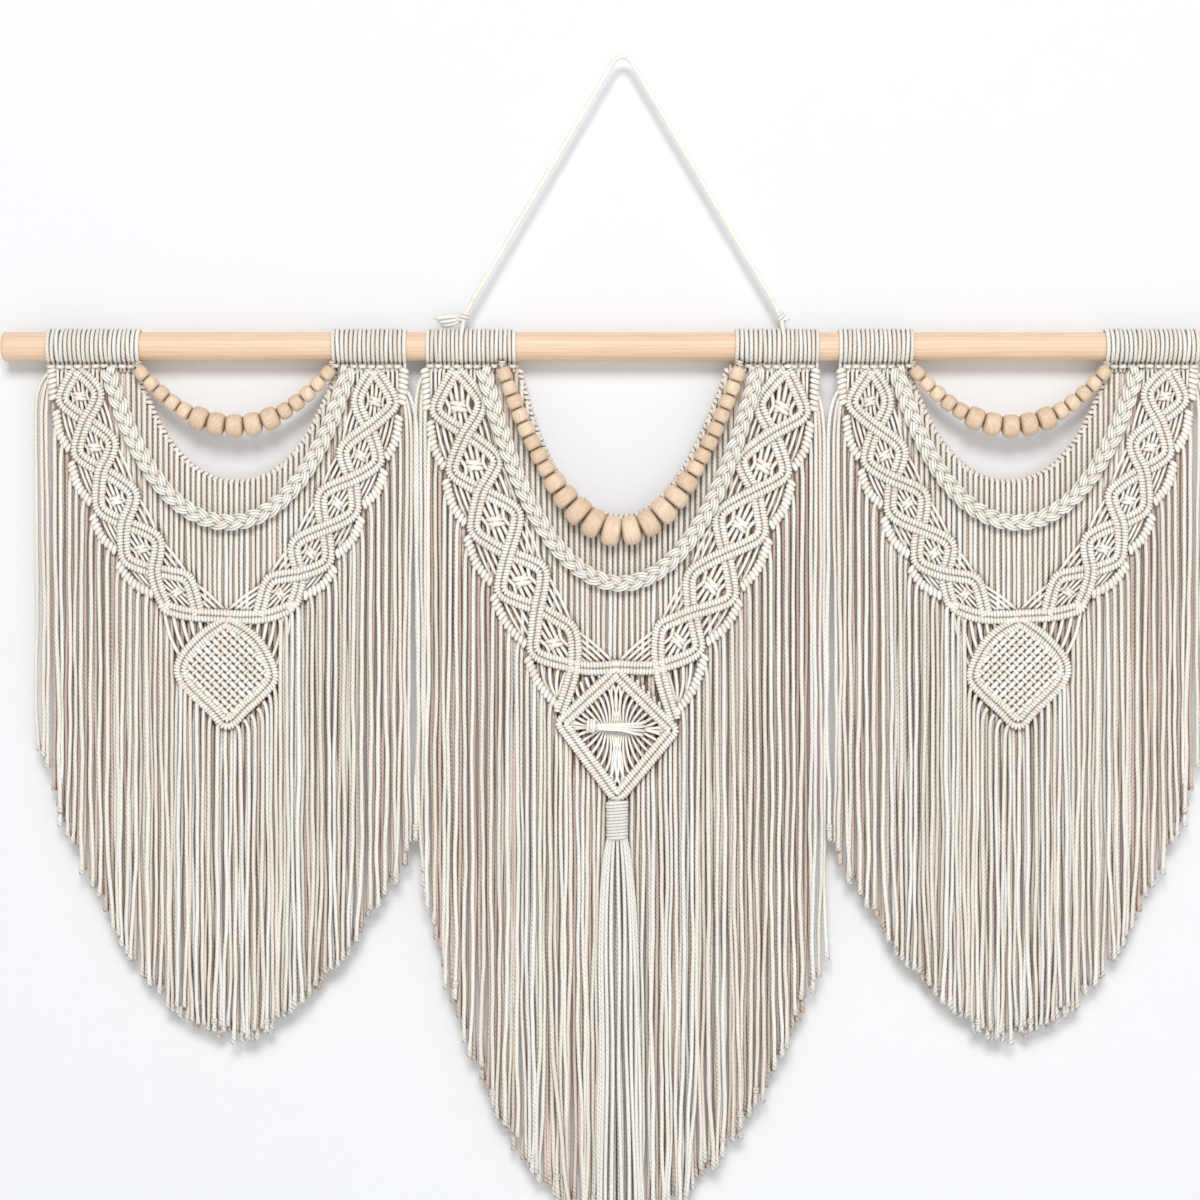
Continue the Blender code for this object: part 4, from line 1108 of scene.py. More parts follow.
class MACRAME_OT_dowel(bpy.types.Operator):
    """Makes the pine dowel with its chamfered ends"""

    bl_idname = "macrame.dowel"
    bl_label = "Dowel"

    def execute(self, context):
        s = context.scene.macrame
        half, radius = s.dowel_length / 2, s.dowel_radius
        chamfer, sides = 0.0015, 48
        inner = np.linspace(-half + 0.004, half - 0.004, 60)
        shape = bmesh.new()
        rings = []
        for x in (-half, -half + chamfer, *inner, half - chamfer, half):
            ring = []
            for k in range(sides):
                turn = math.tau * k / sides
                uneven = 0.00006 * math.sin(x * 37 + 2 * turn)
                uneven += 0.00005 * math.sin(x * 91 - 3 * turn)
                r = radius - chamfer if abs(x) == half else radius + uneven
                place = (x, r * math.cos(turn), r * math.sin(turn) - DOWEL_DROP * MM)
                ring.append(shape.verts.new(place))
            rings.append(ring)
        for a, b in zip(rings, rings[1:]):
            for k in range(sides):
                shape.faces.new((a[k], a[k - 1], b[k - 1], b[k])).smooth = True
        for ring in (rings[0], rings[-1]):
            shape.faces.new(ring).material_index = 1
        bmesh.ops.recalc_face_normals(shape, faces=shape.faces)
        mesh = bpy.data.meshes.new("pine_dowel")
        shape.to_mesh(mesh)
        shape.free()
        for kind in ("pine_dowel", "pine_end_grain"):
            mesh.materials.append(finish_of(kind))
        dowel = bpy.data.objects.new("pine_dowel", mesh)
        context.scene.collection.objects.link(dowel)
        kept(dowel, "dowel_wood", "dowel")
        return {"FINISHED"}


class MACRAME_OT_dowel_wraps(bpy.types.Operator):
    """Wraps the cords side by side on the dowel, with a row of small knots under them"""

    bl_idname = "macrame.dowel_wraps"
    bl_label = "Wraps on the dowel"

    def execute(self, context):
        s = context.scene.macrame
        turn = turns(28)
        for panel in PANELS:
            skein = Skein(seed=21)
            for low, high in panel.wraps + ([] if panel.woven else CHAIN_TOP_WRAPS):
                count = round((high - low) / (s.wrap_pitch / MM))
                pitch = (high - low) / count
                xs = low + pitch * (np.arange(count) + 0.5)
                radius = pitch * 0.5
                ring = s.dowel_radius / MM + radius - 0.05
                along = xs[:, None] + skein.chance.normal(0.0, 0.25, (count, 1)) * np.cos(turn)
                loops = np.broadcast_arrays(along, ring * np.sin(turn), ring * np.cos(turn))
                skein.lay(np.stack(loops, -1), radius * 0.97, 8, ACROSS, closed=True)
                wrap_feet(skein, xs, pitch)
            nodes = [f"wrap_{n}" for n in range(1, len(panel.wraps) + 1)]
            panel_piece(skein, panel, "dowel_wraps", "cotton_strands", *nodes)
        return {"FINISHED"}


def wrap_feet(skein, xs, pitch):
    """The small loops under the wraps, one over each pair of cords."""
    for x in (xs[0:-1:2] + xs[1::2]) / 2 if len(xs) > 1 else xs:
        left, right = ((x + way * pitch * 0.9, -4.0, -17.6) for way in (-1, 1))
        line = bowed(left, (x, -10.8, -18.4), right, 7)
        line[:, 2] += skein.chance.normal(0.0, 0.25)
        skein.lay(line, FOOT_TAPER * 1.75, 7)
    for x in xs:
        top, foot = (x, -4.6, -13.5), (x + skein.chance.normal(0.0, 0.5), -3.4, -22.5)
        skein.lay(bowed(top, (x, -5.4, -18.0), foot, 5), 1.6, 6)


# Knotwork


def eye_knot(skein, chain, n):
    """The strands gathered in the middle of an eye by a square knot."""
    eye = chain.eyes[n]
    middle = eye.middle
    down = eye.cross - top_of(chain, n)
    long = np.hypot(*down) / 2
    down = down / (2 * long)
    across = np.array((-down[1], down[0]))
    for u in EYE_CORDS:
        reach = long * (1 - abs(u)) * 0.95 + 3.4
        out = middle + across * u * eye.half
        pinch = middle + across * u * eye.half * 0.6
        upper, lower = (out * 0.4 + pinch * 0.6 + down * reach * way for way in (-0.45, 0.45))
        line = smooth([out - down * reach, upper, pinch, lower, out + down * reach], 3)
        away = (np.arange(len(line)) - 6.0) / 3.2
        depth = KNOT_Y + 0.9 - 1.6 * np.exp(-(away**2)) * (1 - 0.4 * abs(u))
        skein.lay(at_depth(line, depth), 0.098 * eye.half, 6)
    size = eye.half / 19.0
    for rise, lean, wide in ((-1.9, 0.42, 6.0), (1.9, 0.42, 6.0), (0.0, -0.75, 5.4)):
        rise, wide = rise * size, wide * size
        (x0, z0), (x1, z1) = (
            middle + across * reach + down * (rise + lean * reach) for reach in (-wide, wide)
        )
        x, z = middle + down * rise
        line = bowed((x0, KNOT_Y + 0.4, z0), (x, KNOT_Y - 7.4, z), (x1, KNOT_Y + 0.4, z1), 9)
        skein.lay(line, KNOT_TAPER * 2.1 * size, 7, (down[0], 0.0, down[1]))


def link_cords(skein, chain, outward):
    """The bare cords beside each crossing, which run from eye to eye beside the bands."""
    for n in range(len(chain.eyes) - 1):
        cross = chain.eyes[n].cross
        head, foot = bulge(chain, n, outward), bulge(chain, n + 1, outward)
        out = np.array((head[1] - foot[1], foot[0] - head[0])) * chain.side * outward
        out /= np.hypot(*out)
        for share, bow in LINK_BOWS:
            start = head + (cross - head) * share + out * 2.0 * (1 - share)
            end = foot + (cross - foot) * share + out * 2.0 * (1 - share)
            depth = KNOT_Y + 1.5 + skein.chance.uniform(-0.4, 0.4)
            bare_cord(skein, start, (start + end) / 2 + out * bow, end, depth, 1.6)


def corner_cords(skein, chain):
    """The curved cords from under the bar's outer end down to the diamond's corner."""
    if len(chain.inner_end) < 2:
        return
    head, foot = bulge(chain, len(chain.eyes) - 1, 1), np.array(chain.inner_end[-1])
    bar = np.array(chain.inner_end[0])
    for share, bow in CORNER_BOWS:
        start = head + (bar - head) * share + (0.0, -5.0)
        end = foot + (chain.side * 4.5 * (1 - share), 10.0 + 6.0 * share)
        control = (start + end) / 2 + (chain.side * bow, -bow * 0.4)
        bare_cord(skein, start, control, end, KNOT_Y + 1.4, 1.75)


def last_links(skein, chain, feet):
    """The cords from the inner side of the last eye down to the bar, which close the V."""
    head = bulge(chain, len(chain.eyes) - 1, -1)
    cross = chain.eyes[-2].cross
    base = np.array((chain.inner_end[0][0], chain.inner_end[0][1] + 2.0))
    for n, end in enumerate(np.array(feet)):
        t = n / len(feet)
        start = head + (cross - head) * 0.25 * (1 - t) + (base - head) * t * 0.85
        start[0] -= chain.side * 3.0
        control = (start + end) / 2 + (-chain.side * 3.0 * (1 - t), 4.0 * (1 - t))
        bare_cord(skein, start, control, end, KNOT_Y + 1.4, 1.65, 8)


def roof_strands(skein, chain):
    """The upright cords between the wraps and the first eye's upper bands."""
    eye = chain.eyes[0]
    low, high = eye.x - eye.half - 4.0, eye.x + eye.half + 4.0
    for x in np.arange(low, high, ROOF_PITCH):
        share = min(1.0, abs(x - chain.top_x) / (eye.half + 3.0))
        foot = CHAIN_TOP_Z - share * (TOP_Z - eye.z - 2.0)
        if foot > -23.0:
            continue
        top = (x, -3.6, -15.0)
        line = bowed(top, (x, -4.8, -19.0), (x + skein.chance.normal(0.0, 0.4), -3.2, foot), 6)
        skein.lay(line, 1.55, 6)


def fan(skein, panel):
    """The cords from the bar down to the diamond's upper sides."""
    corners = (panel.diamond[0], min(panel.diamond), max(panel.diamond))
    top, left, right = (np.array(corner) for corner in corners)
    if panel.woven:
        for corner, side, count in ((left, -1, 7), (right, 1, 8)):
            for n in range(count):
                t = (n + 0.9) / count
                foot = top + (corner - top) * t + (side * 4.0 * math.sin(math.pi * t), 3.0)
                head = top + ((corner[0] - top[0]) * (0.06 + 1.36 * t), 9.5)
                control = (head[0] + (foot[0] - head[0]) * 0.15, foot[1] * 0.6 + head[1] * 0.4)
                bare_cord(skein, head, control, foot, KNOT_Y + 1.0, 1.7, 8)
        return
    for corner, lean in ((left, -6.0), (right, -2.5)):
        for t in np.linspace(0.14, 0.9, 9):
            foot = top + (corner - top) * t
            rise = min(15.0, top[1] - foot[1] + 7.0)
            head = foot + (lean * rise / 15.0, rise)
            control = (head + foot) / 2 + (-1.0, 0.5)
            bare_cord(skein, head, control, foot, KNOT_Y + 1.2, 1.7, 6)


def diamond_line(panel):
    """The closed middle line of the band round the bottom diamond."""
    around = panel.diamond + [panel.diamond[0]]
    return smooth(around) if panel.woven else spaced(around, 3.0)


def inside_of(outline, point):
    """Whether a point lies in a closed outline."""
    inside = False
    x, z = point
    for (x0, z0), (x1, z1) in zip(outline, np.roll(outline, -1, 0)):
        if (z0 > z) != (z1 > z) and x < x0 + (z - z0) * (x1 - x0) / (z1 - z0):
            inside = not inside
    return inside


def basket_weave(skein, panel):
    """Close basket weave in the side panel's diamond: cords one over, one under, both ways."""
    outline = smooth(panel.diamond + [panel.diamond[0]], 4)[:-1]
    middle = outline.mean(0)
    outline = middle + (outline - middle) * 0.93
    steps = np.arange(-60.0, 60.0, WEAVE_PITCH / 4)
    for slant, parity, wide in ((-1, 0, 2.3), (1, 1, 1.6)):
        along = np.array((math.sqrt(0.5), slant * math.sqrt(0.5)))
        across = np.array((along[1], -along[0]))
        for k in range(-8, 9):
            base = middle + across * (k * WEAVE_PITCH)
            run = np.array([step for step in steps if inside_of(outline, base + along * step)])
            if len(run) < 6:
                continue
            over = np.cos(math.pi * (run / WEAVE_PITCH + k + parity)) * 1.2
            skein.lay(at_depth(base + along * run[:, None], KNOT_Y - 0.3 + over), wide, 7)


def spider(skein, panel):
    """The strands gathered in the middle of the centre diamond and spread to its sides."""
    top, left, tip, right = (np.array(p) for p in panel.diamond)
    middle = np.array((top[0] + 1.0, (left[1] + right[1]) / 2 - 1.5))
    thinning = np.linspace(1.6, 1.15, 9)
    for corner, side in ((left, -1), (right, 1)):
        for n in range(12):
            t = (n + 0.5) / 12
            waist = middle + (side * (0.9 + 19.0 * t), 0.0)
            for end, away in ((top, 1.0), (tip, -1.0)):
                rim = end + (corner - end) * t
                square = np.array((corner[1] - end[1], end[0] - corner[0])) * side * away
                square = square / np.hypot(*square) * (11.0 + 9.0 * (1 - t))
                foot = waist + (0.0, away * 1.2)
                bare_cord(skein, rim, rim + square * 0.9, foot, KNOT_Y + 0.8, thinning)


def knotwork(panel, s):
    """All the knots of one panel: chains, scallops, eyes, bars and diamond."""
    skein = Skein(seed=31)
    for chain in panel.chains:
        for outer in (True, False):
            line = band_line(chain, outer)
            band(skein, line, crossing_lift(chain, outer, line), s, 0.5 * chain.side)
        for n in range(len(chain.eyes)):
            eye_knot(skein, chain, n)
        for n in range(chain.scallops):
            hitch_row(skein, at_depth(scallop_line(chain, n), KNOT_Y), SCALLOP_ROW, chain.side)
        hitch_row(skein, at_depth(column_line(chain), KNOT_Y), COLUMN_ROW, chain.side)
        link_cords(skein, chain, 1)
        link_cords(skein, chain, -1)
        corner_cords(skein, chain)
        roof_strands(skein, chain)
        tip_x = panel.diamond[0][0]
        bar_x, bar_z = chain.inner_end[0]
        count = int((abs(bar_x - tip_x) - 4.0) / LINK_PITCH)
        feet = [(tip_x + chain.side * (2.2 + LINK_PITCH * n), bar_z + 5.0) for n in range(count)]
        last_links(skein, chain, feet)
    line = diamond_line(panel)
    band(skein, line, np.zeros(len(line)), s)
    fan(skein, panel)
    fill = basket_weave if panel.woven else spider
    fill(skein, panel)
    return skein


class MACRAME_OT_knotwork(bpy.types.Operator):
    """Knots the chains of eyes, the scallops beside them and the diamond of each panel"""

    bl_idname = "macrame.knotwork"
    bl_label = "Knotwork"

    def execute(self, context):
        for panel in PANELS:
            skein = knotwork(panel, context.scene.macrame)
            panel_piece(skein, panel, "knots", "cotton_knots", "knotwork")
        return {"FINISHED"}


# Fringes


def front_fringe(panel, s):
    """The strands that hang from the scallops, the columns and the diamond."""
    skein = Skein(seed=41)
    hung = []

    def hang(a, b, x, drop):
        """Hangs a strand at x from the part of a row between a and b."""
        hung.append((((a[0] + b[0]) / 2, KNOT_Y, (a[1] + b[1]) / 2), x, min(a[1], b[1]) - drop))

    for chain in panel.chains:
        eye = chain.eyes[0]
        column = divided(column_line(chain), 7)
        # On the right the strands leave the column lower, and bend lower too.
        first_knot, drop = (4, 34.0) if chain.side > 0 else (1, 12.0)
        for n in range(COLUMN_STRANDS):
            x = eye.x + chain.side * (eye.half + COLUMN_OUT + chain.spread - COLUMN_PITCH * n)
            knot = first_knot + n
            start = (column[knot][0] + chain.side, KNOT_Y, column[knot][1])
            hung.append((start, x, eye.z - drop - 5.0 * n))
        for n in range(chain.scallops):
            line = scallop_line(chain, n)
            reach = line[-1][0] - line[0][0]
            count = max(2, round(abs(reach) / (s.front_pitch / MM)))
            stations = divided(line, count)
            for k, (a, b) in enumerate(zip(stations, stations[1:])):
                hang(a, b, line[0][0] + chain.side * 4.4 + reach * (k + 0.5) / count, 15.0)
    if panel.woven:
        for side, row in diamond_sides(panel):
            stations = divided(row, 7)
            for a, b in zip(stations, stations[1:]):
                hang(a, b, (a[0] + b[0]) / 2 + (4.0 if side > 0 else -1.0), 13.0)
    hung += [((x - 1.0, KNOT_Y, z), x, z - 10.0) for x, z in panel.loose]
    starts, xs, bends = zip(*hung)
    xs = np.array(xs) + skein.chance.normal(0.0, 0.5, len(xs))
    tips, drawn = bundled(skein, panel, xs, -3.0, 8.0)
    lines = strand_lines(skein, starts, xs, bends, FRONT_Y, tips, s.fringe_wave / MM, drawn)
    strands(skein, lines, s.cord_radius / MM * 0.97)
    end_knots(skein, lines, s.cord_radius / MM)
    return skein


def edge_strands(panel, s):
    """The hitched upper edge of a panel and the strands that hang from it."""
    skein = Skein(seed=51)
    line = swag_line(panel.edge)
    hitch_row(skein, at_depth(line, EDGE_Y), EDGE_ROW)
    left, right = panel.edge.left, panel.edge.right
    count = round((right - left) / (s.middle_pitch / MM))
    xs = left + (right - left) * (np.arange(count) + 0.5) / count
    zs = np.interp(xs, line[:, 0], line[:, 1])
    beside = s.middle_pitch / MM * (np.arange(4) + 0.5)
    xs = np.concatenate((left - beside[::-1], xs, right + beside))
    zs = np.concatenate((np.full(4, TOP_Z), zs, np.full(4, TOP_Z)))
    starts = at_depth(np.column_stack((xs, zs)), MIDDLE_Y + 1.0)
    tips, drawn = bundled(skein, panel, xs, -2.0, 12.0)
    lines = strand_lines(skein, starts, xs, zs - 7.0, MIDDLE_Y, tips, s.fringe_wave / MM, drawn)
    strands(skein, pushed_back(panel, lines, MIDDLE_PUSH), s.cord_radius / MM)
    end_knots(skein, lines, s.cord_radius / MM)
    return skein


def pushed_back(panel, lines, push):
    """The knots press the strands that pass behind them back towards the wall."""
    knots = [band_line(chain, outer) for chain in panel.chains for outer in (True, False)]
    knots = np.vstack(knots + [diamond_line(panel)])
    near = np.abs(knots[:, 0] - lines[:, MIDWAY, :1]) < KNOTS_REACH
    low = np.where(near, knots[:, 1], np.inf).min(1, keepdims=True) - KNOTS_BELOW
    high = np.where(near, knots[:, 1], -np.inf).max(1, keepdims=True) + KNOTS_ABOVE
    heights = lines[..., 2]
    share = np.clip((heights - low) / KNOTS_EASE, 0.0, 1.0)
    share = share * np.clip((high - heights) / KNOTS_EASE, 0.0, 1.0)
    lines[..., 1] += push * share * share * (3.0 - 2.0 * share)
    return lines


def rear_strands(panel, s):
    """The rear layer of strands, from the dowel's wraps and from the upper edge."""
    skein = Skein(seed=61)
    line = swag_line(panel.edge)
    left, right = panel.edge.left, panel.edge.right
    low, high = panel.wraps[0][0] + 2.0, panel.wraps[-1][1] - 2.0
    count = round((right - left) / (s.middle_pitch / MM))
    pitch = s.deep_pitch / MM
    xs = np.concatenate(
        (
            np.arange(left - pitch / 2, low, -pitch),
            left + (right - left) * np.arange(1, count) / count,
            np.arange(right + pitch / 2, high, pitch),
        )
    )
    count = len(xs)
    xs += skein.chance.normal(0.0, 0.3, count)
    within = (xs > left) & (xs < right)
    zs = np.where(within, np.interp(xs, line[:, 0], line[:, 1]) - 1.0, -15.0)
    starts = at_depth(np.column_stack((xs, zs)), 3.0)
    tips = hem_at(panel, xs) + skein.chance.uniform(4.0, 13.0, count)
    depth = np.where(within, DEEP_Y, REAR_Y)
    lines = strand_lines(skein, starts, xs, zs - 9.0, depth, tips, s.fringe_wave / MM * 0.7)
    strands(skein, pushed_back(panel, lines, REAR_PUSH), s.cord_radius / MM * 1.04, 6)
    return skein


class MACRAME_OT_fringe(bpy.types.Operator):
    """Hangs the strands of each panel in three layers"""

    bl_idname = "macrame.fringe"
    bl_label = "Fringe"

    def execute(self, context):
        s = context.scene.macrame
        for panel in PANELS:
            for name, layer, finish, node in (
                ("front_fringe", front_fringe, "cotton_strands", "knotwork"),
                ("edge_strands", edge_strands, "cotton_strands", "back_fringe"),
                # The rear strands take the cotton in painted shade.
                ("rear_strands", rear_strands, "cotton_inner", "back_fringe"),
            ):
                panel_piece(layer(panel, s), panel, name, finish, node)
        return {"FINISHED"}


# Braids and beads


class MACRAME_OT_braids(bpy.types.Operator):
    """Plaits the swag across each panel, of three strands that have three cords each"""

    bl_idname = "macrame.braids"
    bl_label = "Braids"

    def execute(self, context):
        for panel in PANELS:
            skein = braid(panel, context.scene.macrame)
            panel_piece(skein, panel, "plait", "cotton_knots", "braid")
        return {"FINISHED"}


def braid(panel, s):
    """Three strands of three cords each, plaited flat along the panel's braid swag."""
    skein = Skein(seed=71)
    line = spaced(swag_line(panel.braid), 1.9)
    reach = reach_along(line)
    ahead = ahead_of(line)
    across = np.column_stack((-ahead[:, 1], ahead[:, 0]))
    wide = s.braid_width / MM
    sway, cord = wide * 0.295, wide * 0.102
    per_length = math.tau / (s.braid_pitch / MM)
    near_end = np.exp(-np.minimum(reach, reach[-1] - reach) / 9.0)
    for strand in range(3):
        phase = reach * per_length + strand * math.tau / 3
        lean = np.arctan(sway * per_length * np.cos(phase))
        beside = across * np.cos(lean)[:, None] - ahead * np.sin(lean)[:, None]
        centre = line + across * (sway * np.sin(phase))[:, None]
        depth = BRAID_Y + 2.7 * np.sin(2 * phase) + near_end * 4.0
        for place in (-1.0, 0.0, 1.0):
            at = centre + beside * place * cord * 1.6
            skein.lay(at_depth(at, depth + 1.1 * place**2), cord, 7)
    return skein


class MACRAME_OT_bead_strings(bpy.types.Operator):
    """Strings the turned wooden beads on their cords"""

    bl_idname = "macrame.bead_strings"
    bl_label = "Bead strings"

    def execute(self, context):
        for panel in PANELS:
            skein, grain = turned_beads(panel)
            beads = panel_piece(
                skein, panel, "wooden_beads", "bead_beech", "beads", slot="bead_wood"
            )
            own = beads.data.attributes.new("own_grain", "FLOAT_VECTOR", "POINT")
            own.data.foreach_set("vector", np.vstack(grain).astype(np.float32).ravel())
            panel_piece(bead_cord(panel), panel, "bead_cord", "cotton_strands", "beads")
        return {"FINISHED"}


def turned_beads(panel):
    """The beads of a panel, each swept as one short thick cord, and where each lies in its wood."""
    skein = Skein(seed=81)
    grain = []
    line = swag_line(panel.string)
    parts = 2000
    path = divided(line, parts)
    total = sum(row.count * row.length for row in panel.beads)
    profile = np.linspace(-1.0, 1.0, 15)
    body = 0.5 + 0.5 * (1 - np.abs(profile) ** 3.0) ** 0.5
    at = 0.0
    for row in panel.beads:
        for diameter in np.linspace(row.first, row.last, row.count):
            start, middle, end = (
                path[min(parts, max(0, round((at + k * row.length) * (parts / total))))]
                for k in (0.0, 0.5, 1.0)
            )
            way = (end - start) / np.linalg.norm(end - start)
            half = row.length * (length_of(line) / total) / 2 * 0.98
            size = diameter / 2 * skein.chance.uniform(0.97, 1.02)
            axis = at_depth(middle + (way * half) * profile[:, None], panel.bead_y)
            skein.lay(axis, size * body, 24)
            points = (skein.points[-1] - (middle[0], panel.bead_y, middle[1])) * MM
            turn = np.linalg.qr(skein.chance.normal(size=(3, 3)))[0]
            grain.append(points @ turn + skein.chance.uniform(-1.0, 1.0, 3))
            at += row.length
    return skein, grain


def bead_cord(panel):
    """The cord that the beads are strung on, and the knots at its ends."""
    skein = Skein(seed=82)
    route = spaced(swag_line(panel.string), 3.0)
    route = np.vstack((route[:1] + (0.0, 4.0), route, route[-1:] + (0.0, 4.0)))
    depth = np.full(len(route), panel.bead_y)
    depth[:3] += (6.0, 3.0, 1.0)
    depth[-3:] += (1.0, 3.0, 6.0)
    skein.lay(at_depth(route, depth), 1.5, 7)
    turn = turns(12)
    for end in (0, -1):
        ring = np.column_stack((np.cos(turn) * 2.2, np.sin(turn) * 2.2, np.sin(turn + end) * 0.8))
        for rise in (0.0, 2.4):
            place = (route[end][0], depth[end], route[end][1] + rise - 1.0)
            skein.lay(ring + place, 1.3, 6, UP, closed=True)
    return skein


# Centre motif


class MACRAME_OT_centre_tie(bpy.types.Operator):
    """Ties the gathered strands of the centre diamond with a small bundle of cord"""

    bl_idname = "macrame.centre_tie"
    bl_label = "Centre tie"

    def execute(self, context):
        skein = Skein(seed=91)
        level = -334.0
        for n, rise in enumerate((-3.0, -1.0, 1.2, 3.2)):
            bow = [
                (-28.0, TIE_Y + 0.5, level + 1.0 + rise * 0.35),
                (-20.0, TIE_Y - 0.6, level + rise * 0.5),
                (0.0, TIE_Y - 1.0, level - 0.5 + rise * 0.8),
                (10.0 + 1.5 * n, TIE_Y, level - 1.5 + rise * 1.35),
                (15.0 + 1.2 * n, TIE_Y + 3.0, level - 1.5 + rise * 1.7),
                (17.0 + n, TIE_Y + 5.2, level - 2.0 + rise * 1.9),
            ]
            skein.lay(smooth(bow, 4), 1.55, 7)
        turn = turns(16)
        for x in (-30.2, -27.6, -25.4):
            ring = np.column_stack((x + np.cos(turn) * 0.5, np.sin(turn) * 3.6, np.cos(turn) * 4.9))
            skein.lay(ring + (0.0, TIE_Y, level + 1.0), 1.5, 7, ACROSS, closed=True)
        core = [(x, TIE_Y, level + 1.0) for x in (-31.5, -30.0, -26.0, -23.0)]
        skein.lay(core, (1.6, 3.6, 3.6, 2.2), 9)
        tie = skein.piece("centre_tie_cords", finish_of("cotton_knots"))
        kept(tie, "cotton_cord", "centre_tie")
        return {"FINISHED"}


class MACRAME_OT_tassel(bpy.types.Operator):
    """Gathers the strands under the centre diamond into a wrapped tassel"""

    bl_idname = "macrame.tassel"
    bl_label = "Tassel"

    def execute(self, context):
        skein = Skein(seed=95)
        tip_x, tip_z = CENTRE_PANEL.diamond[2]
        top, neck = tip_z - 4.4, tip_z - 34.5
        turn = turns(32)
        for n in range(12):
            z = top - (top - neck) * n / 11
            wide = 8.7 + 0.25 * math.sin(n * 2.1) - 0.6 * n / 11
            ring = np.column_stack((np.cos(turn) * wide, np.sin(turn) * 5.4, np.cos(turn) * 0.7))
            skein.lay(ring + (tip_x, TASSEL_Y, z), 1.5, 6, UP, closed=True, tone=0.0)
        core = [(tip_x, TASSEL_Y, z) for z in np.linspace(top + 2.0, neck - 3.0, 6)]
        skein.lay(core, 8.0, 16, flat=0.54)
        hanging_tassel(skein, tip_x, neck + 4.0, context.scene.macrame.tassel_strands)
        tassel = skein.piece("tassel", finish_of("cotton_strands"))
        kept(tassel, "cotton_cord", "centre_tassel")
        return {"FINISHED"}


def hanging_tassel(skein, middle, top, count):
    """The tassel's strands: an outer ring of them round an inner one, spreading as they fall."""
    chance = skein.chance
    inner = count // 5
    outer = count - inner
    spread = np.concatenate((np.full(outer, 1.0), np.full(inner, 0.4)))
    around = np.concatenate((np.arange(outer) / outer, np.arange(inner) / inner)) * math.tau + 0.1
    u, w = spread * np.cos(around), spread * np.sin(around)
    u = np.sign(u) * np.abs(u) ** 0.85
    drop = np.linspace(0.0, 1.0, 44) ** 1.25 * (top - (CENTRE_PANEL.hem_z - 6.0))
    grow = 1 - np.exp(-drop / 30.0)
    half = 6.6 + grow * 7.6 + drop / 360.0 * 5.0
    ends = chance.uniform(0.0, 12.0, count) + 10.0 * np.abs(u)
    phase = chance.uniform(0.0, math.tau, (count, 1))
    wave = 0.9 * np.minimum(1.0, drop / 120.0)
    lines = np.zeros((count, len(drop), 3))
    sway = wave * np.sin(drop / 41.0 + phase)
    lines[:, :, 0] = middle + u[:, None] * half + sway + drop / 360.0 * 3.0
    sway = 0.3 * wave * np.sin(drop / 33.0 + 2 * phase)
    lines[:, :, 1] = TASSEL_Y + w[:, None] * (2.6 + 0.9 * grow) + sway
    lines[:, :, 2] = top - drop * (1 - ends[:, None] / 350.0)
    tone = chance.random(count) * 0.4
    skein.lay(lines, 1.85 - 0.6 * np.exp(-drop / 16.0), 7, tone=tone)
    frays(skein, lines[:, -1], 1.8, tone, 9)


# Stage


def aimed(made, place, target):
    made.location = place
    made.rotation_mode = "QUATERNION"
    made.rotation_quaternion = (Vector(target) - Vector(place)).to_track_quat("-Z", "Y")
    bpy.context.scene.collection.objects.link(made)
    return made


def soft_light(name, place, target, width, height, watts, colour=(1.0, 1.0, 1.0)):
    light = bpy.data.lights.new(name, "AREA")
    light.shape = "RECTANGLE"
    light.size, light.size_y = width, height
    light.energy = watts
    light.color = colour
    return aimed(bpy.data.objects.new(name, light), place, target)


def sheet_of(name, corners, finish):
    mesh = bpy.data.meshes.new(name)
    mesh.from_pydata(corners, [], [(0, 1, 2, 3)])
    mesh.materials.append(finish.material)
    made = bpy.data.objects.new(name, mesh)
    bpy.context.scene.collection.objects.link(made)
    return made


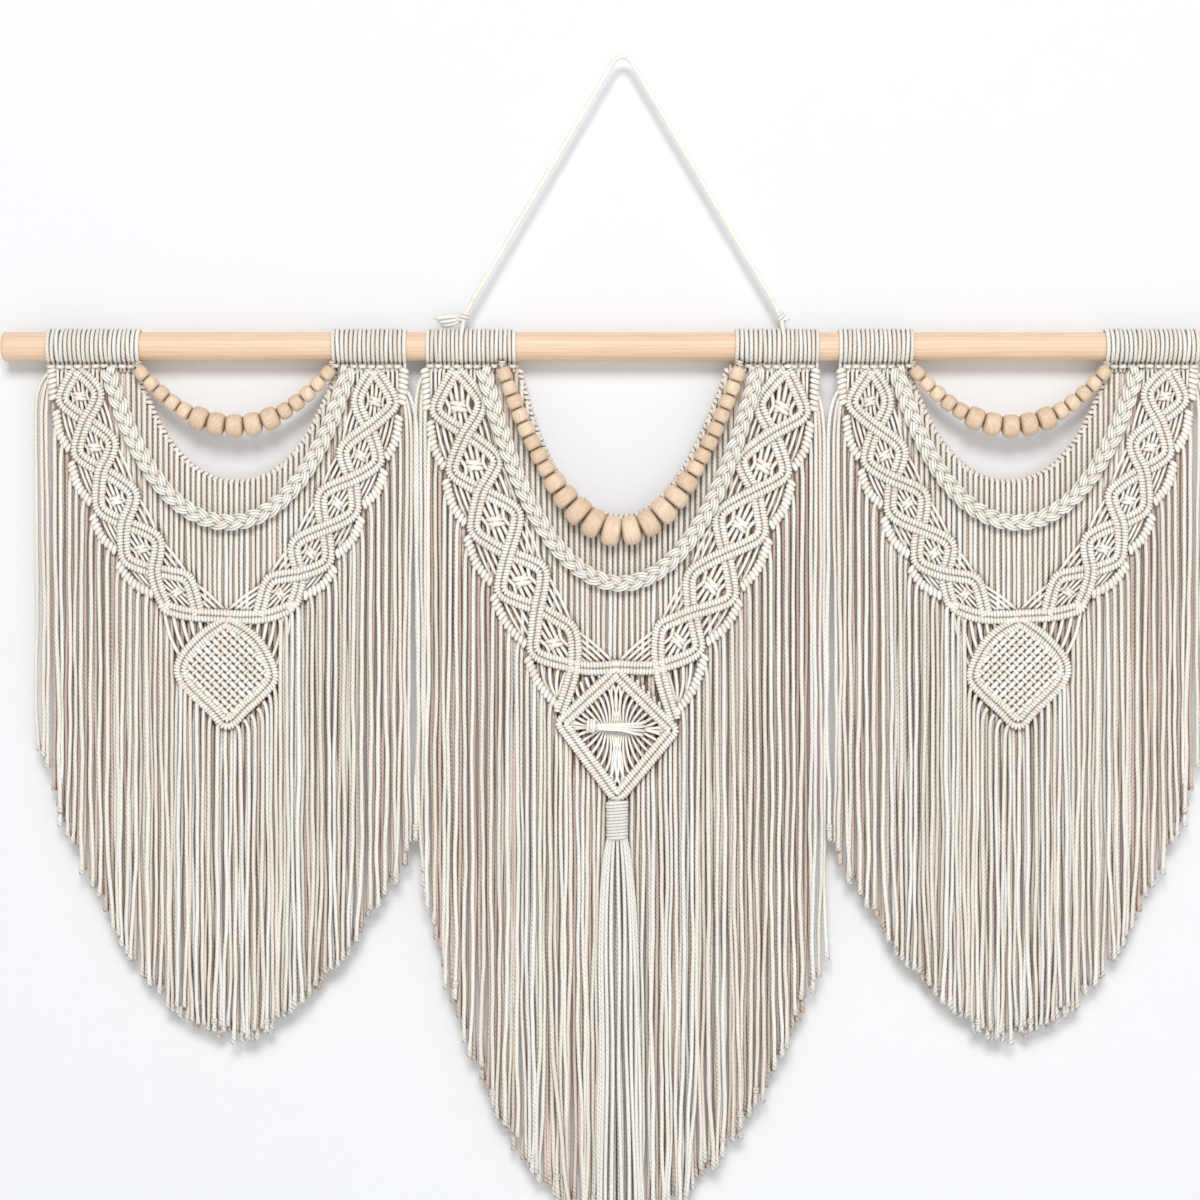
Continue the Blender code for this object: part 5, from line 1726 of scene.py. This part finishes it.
class MACRAME_OT_stage(bpy.types.Operator):
    """Sets up the wall, the floor, the soft lights and the camera"""

    bl_idname = "macrame.stage"
    bl_label = "Stage"

    def execute(self, context):
        scene = context.scene
        camera = bpy.data.cameras.new("camera")
        camera.lens = 85.0
        camera.sensor_width = 36.0
        middle = Vector((-0.0198, 0.0, -0.4758))
        away = Vector((0.0, -2.493, 0.0))
        scene.camera = aimed(bpy.data.objects.new("camera", camera), middle + away, middle)

        wall_y, floor_z = 0.0195, -1.35
        wall = plain_matt("wall_paint", (0.828, 0.838, 0.857))
        from_behind = wall.node("NewGeometry", output="Backfacing")
        layers = (from_behind, wall.shader.outputs[0], wall.node("BsdfTransparent"))
        either = wall.node("MixShader", enumerate(layers))
        wall.feed(wall.tree.nodes["Material Output"].inputs["Surface"], either)
        half, ceiling_z, front_y, rear_y = 4.0, 2.5, -5.0, 4.0
        ways = ((-half, 0), (half, 0), (half, 1), (-half, 1))
        corners = [(x, wall_y, (floor_z, ceiling_z)[far]) for x, far in ways]
        sheet_of("wall", corners, wall).visible_shadow = False
        corners = [(x, (front_y, rear_y)[far], floor_z) for x, far in ways]
        sheet_of("floor", corners, plain_matt("floor_paint", (0.86, 0.86, 0.85), 0.7))

        aim = (0.0, 0.0, -0.5)
        soft_light("key_light", (-0.15, -5.3, 2.4), aim, 2.3, 1.9, 229.0, (1.0, 0.99, 0.97))
        soft_light("fill_light", (0.9, -3.4, -1.0), aim, 2.4, 2.4, 24.0, (0.98, 0.98, 1.0))
        soft_light("rear_light", (0.6, 2.2, 0.6), aim, 1.6, 1.6, 15.0)
        world = bpy.data.worlds.new("soft_room")
        world.use_nodes = True
        background = world.node_tree.nodes["Background"]
        background.inputs["Color"].default_value = (0.92, 0.95, 1.0, 1.0)
        background.inputs["Strength"].default_value = 0.34
        scene.world = world
        scene.view_settings.view_transform = "Standard"
        scene.view_settings.look = "None"
        return {"FINISHED"}


OPERATORS = (
    MACRAME_OT_hanging_rope,
    MACRAME_OT_dowel,
    MACRAME_OT_dowel_wraps,
    MACRAME_OT_knotwork,
    MACRAME_OT_fringe,
    MACRAME_OT_braids,
    MACRAME_OT_bead_strings,
    MACRAME_OT_centre_tie,
    MACRAME_OT_tassel,
    MACRAME_OT_stage,
)


class MACRAME_PT_sidebar(bpy.types.Panel):
    """Sizes, colours and the steps that build the wall hanging"""

    bl_label = "Macrame wall hanging"
    bl_idname = "MACRAME_PT_sidebar"
    bl_space_type = "VIEW_3D"
    bl_region_type = "UI"
    bl_category = "Macrame"

    def draw(self, context):
        for name in MacrameSettings.__annotations__:
            self.layout.prop(context.scene.macrame, name)
        for step in OPERATORS:
            self.layout.operator(step.bl_idname)


CLASSES = (MacrameSettings, *OPERATORS, MACRAME_PT_sidebar)


def register():
    for kind in CLASSES:
        bpy.utils.register_class(kind)
    bpy.types.Scene.macrame = PointerProperty(type=MacrameSettings)


def unregister():
    del bpy.types.Scene.macrame
    for kind in reversed(CLASSES):
        bpy.utils.unregister_class(kind)


def main():
    register()
    for step in OPERATORS:
        group, name = step.bl_idname.split(".")
        getattr(getattr(bpy.ops, group), name)()


if __name__ == "__main__":
    main()
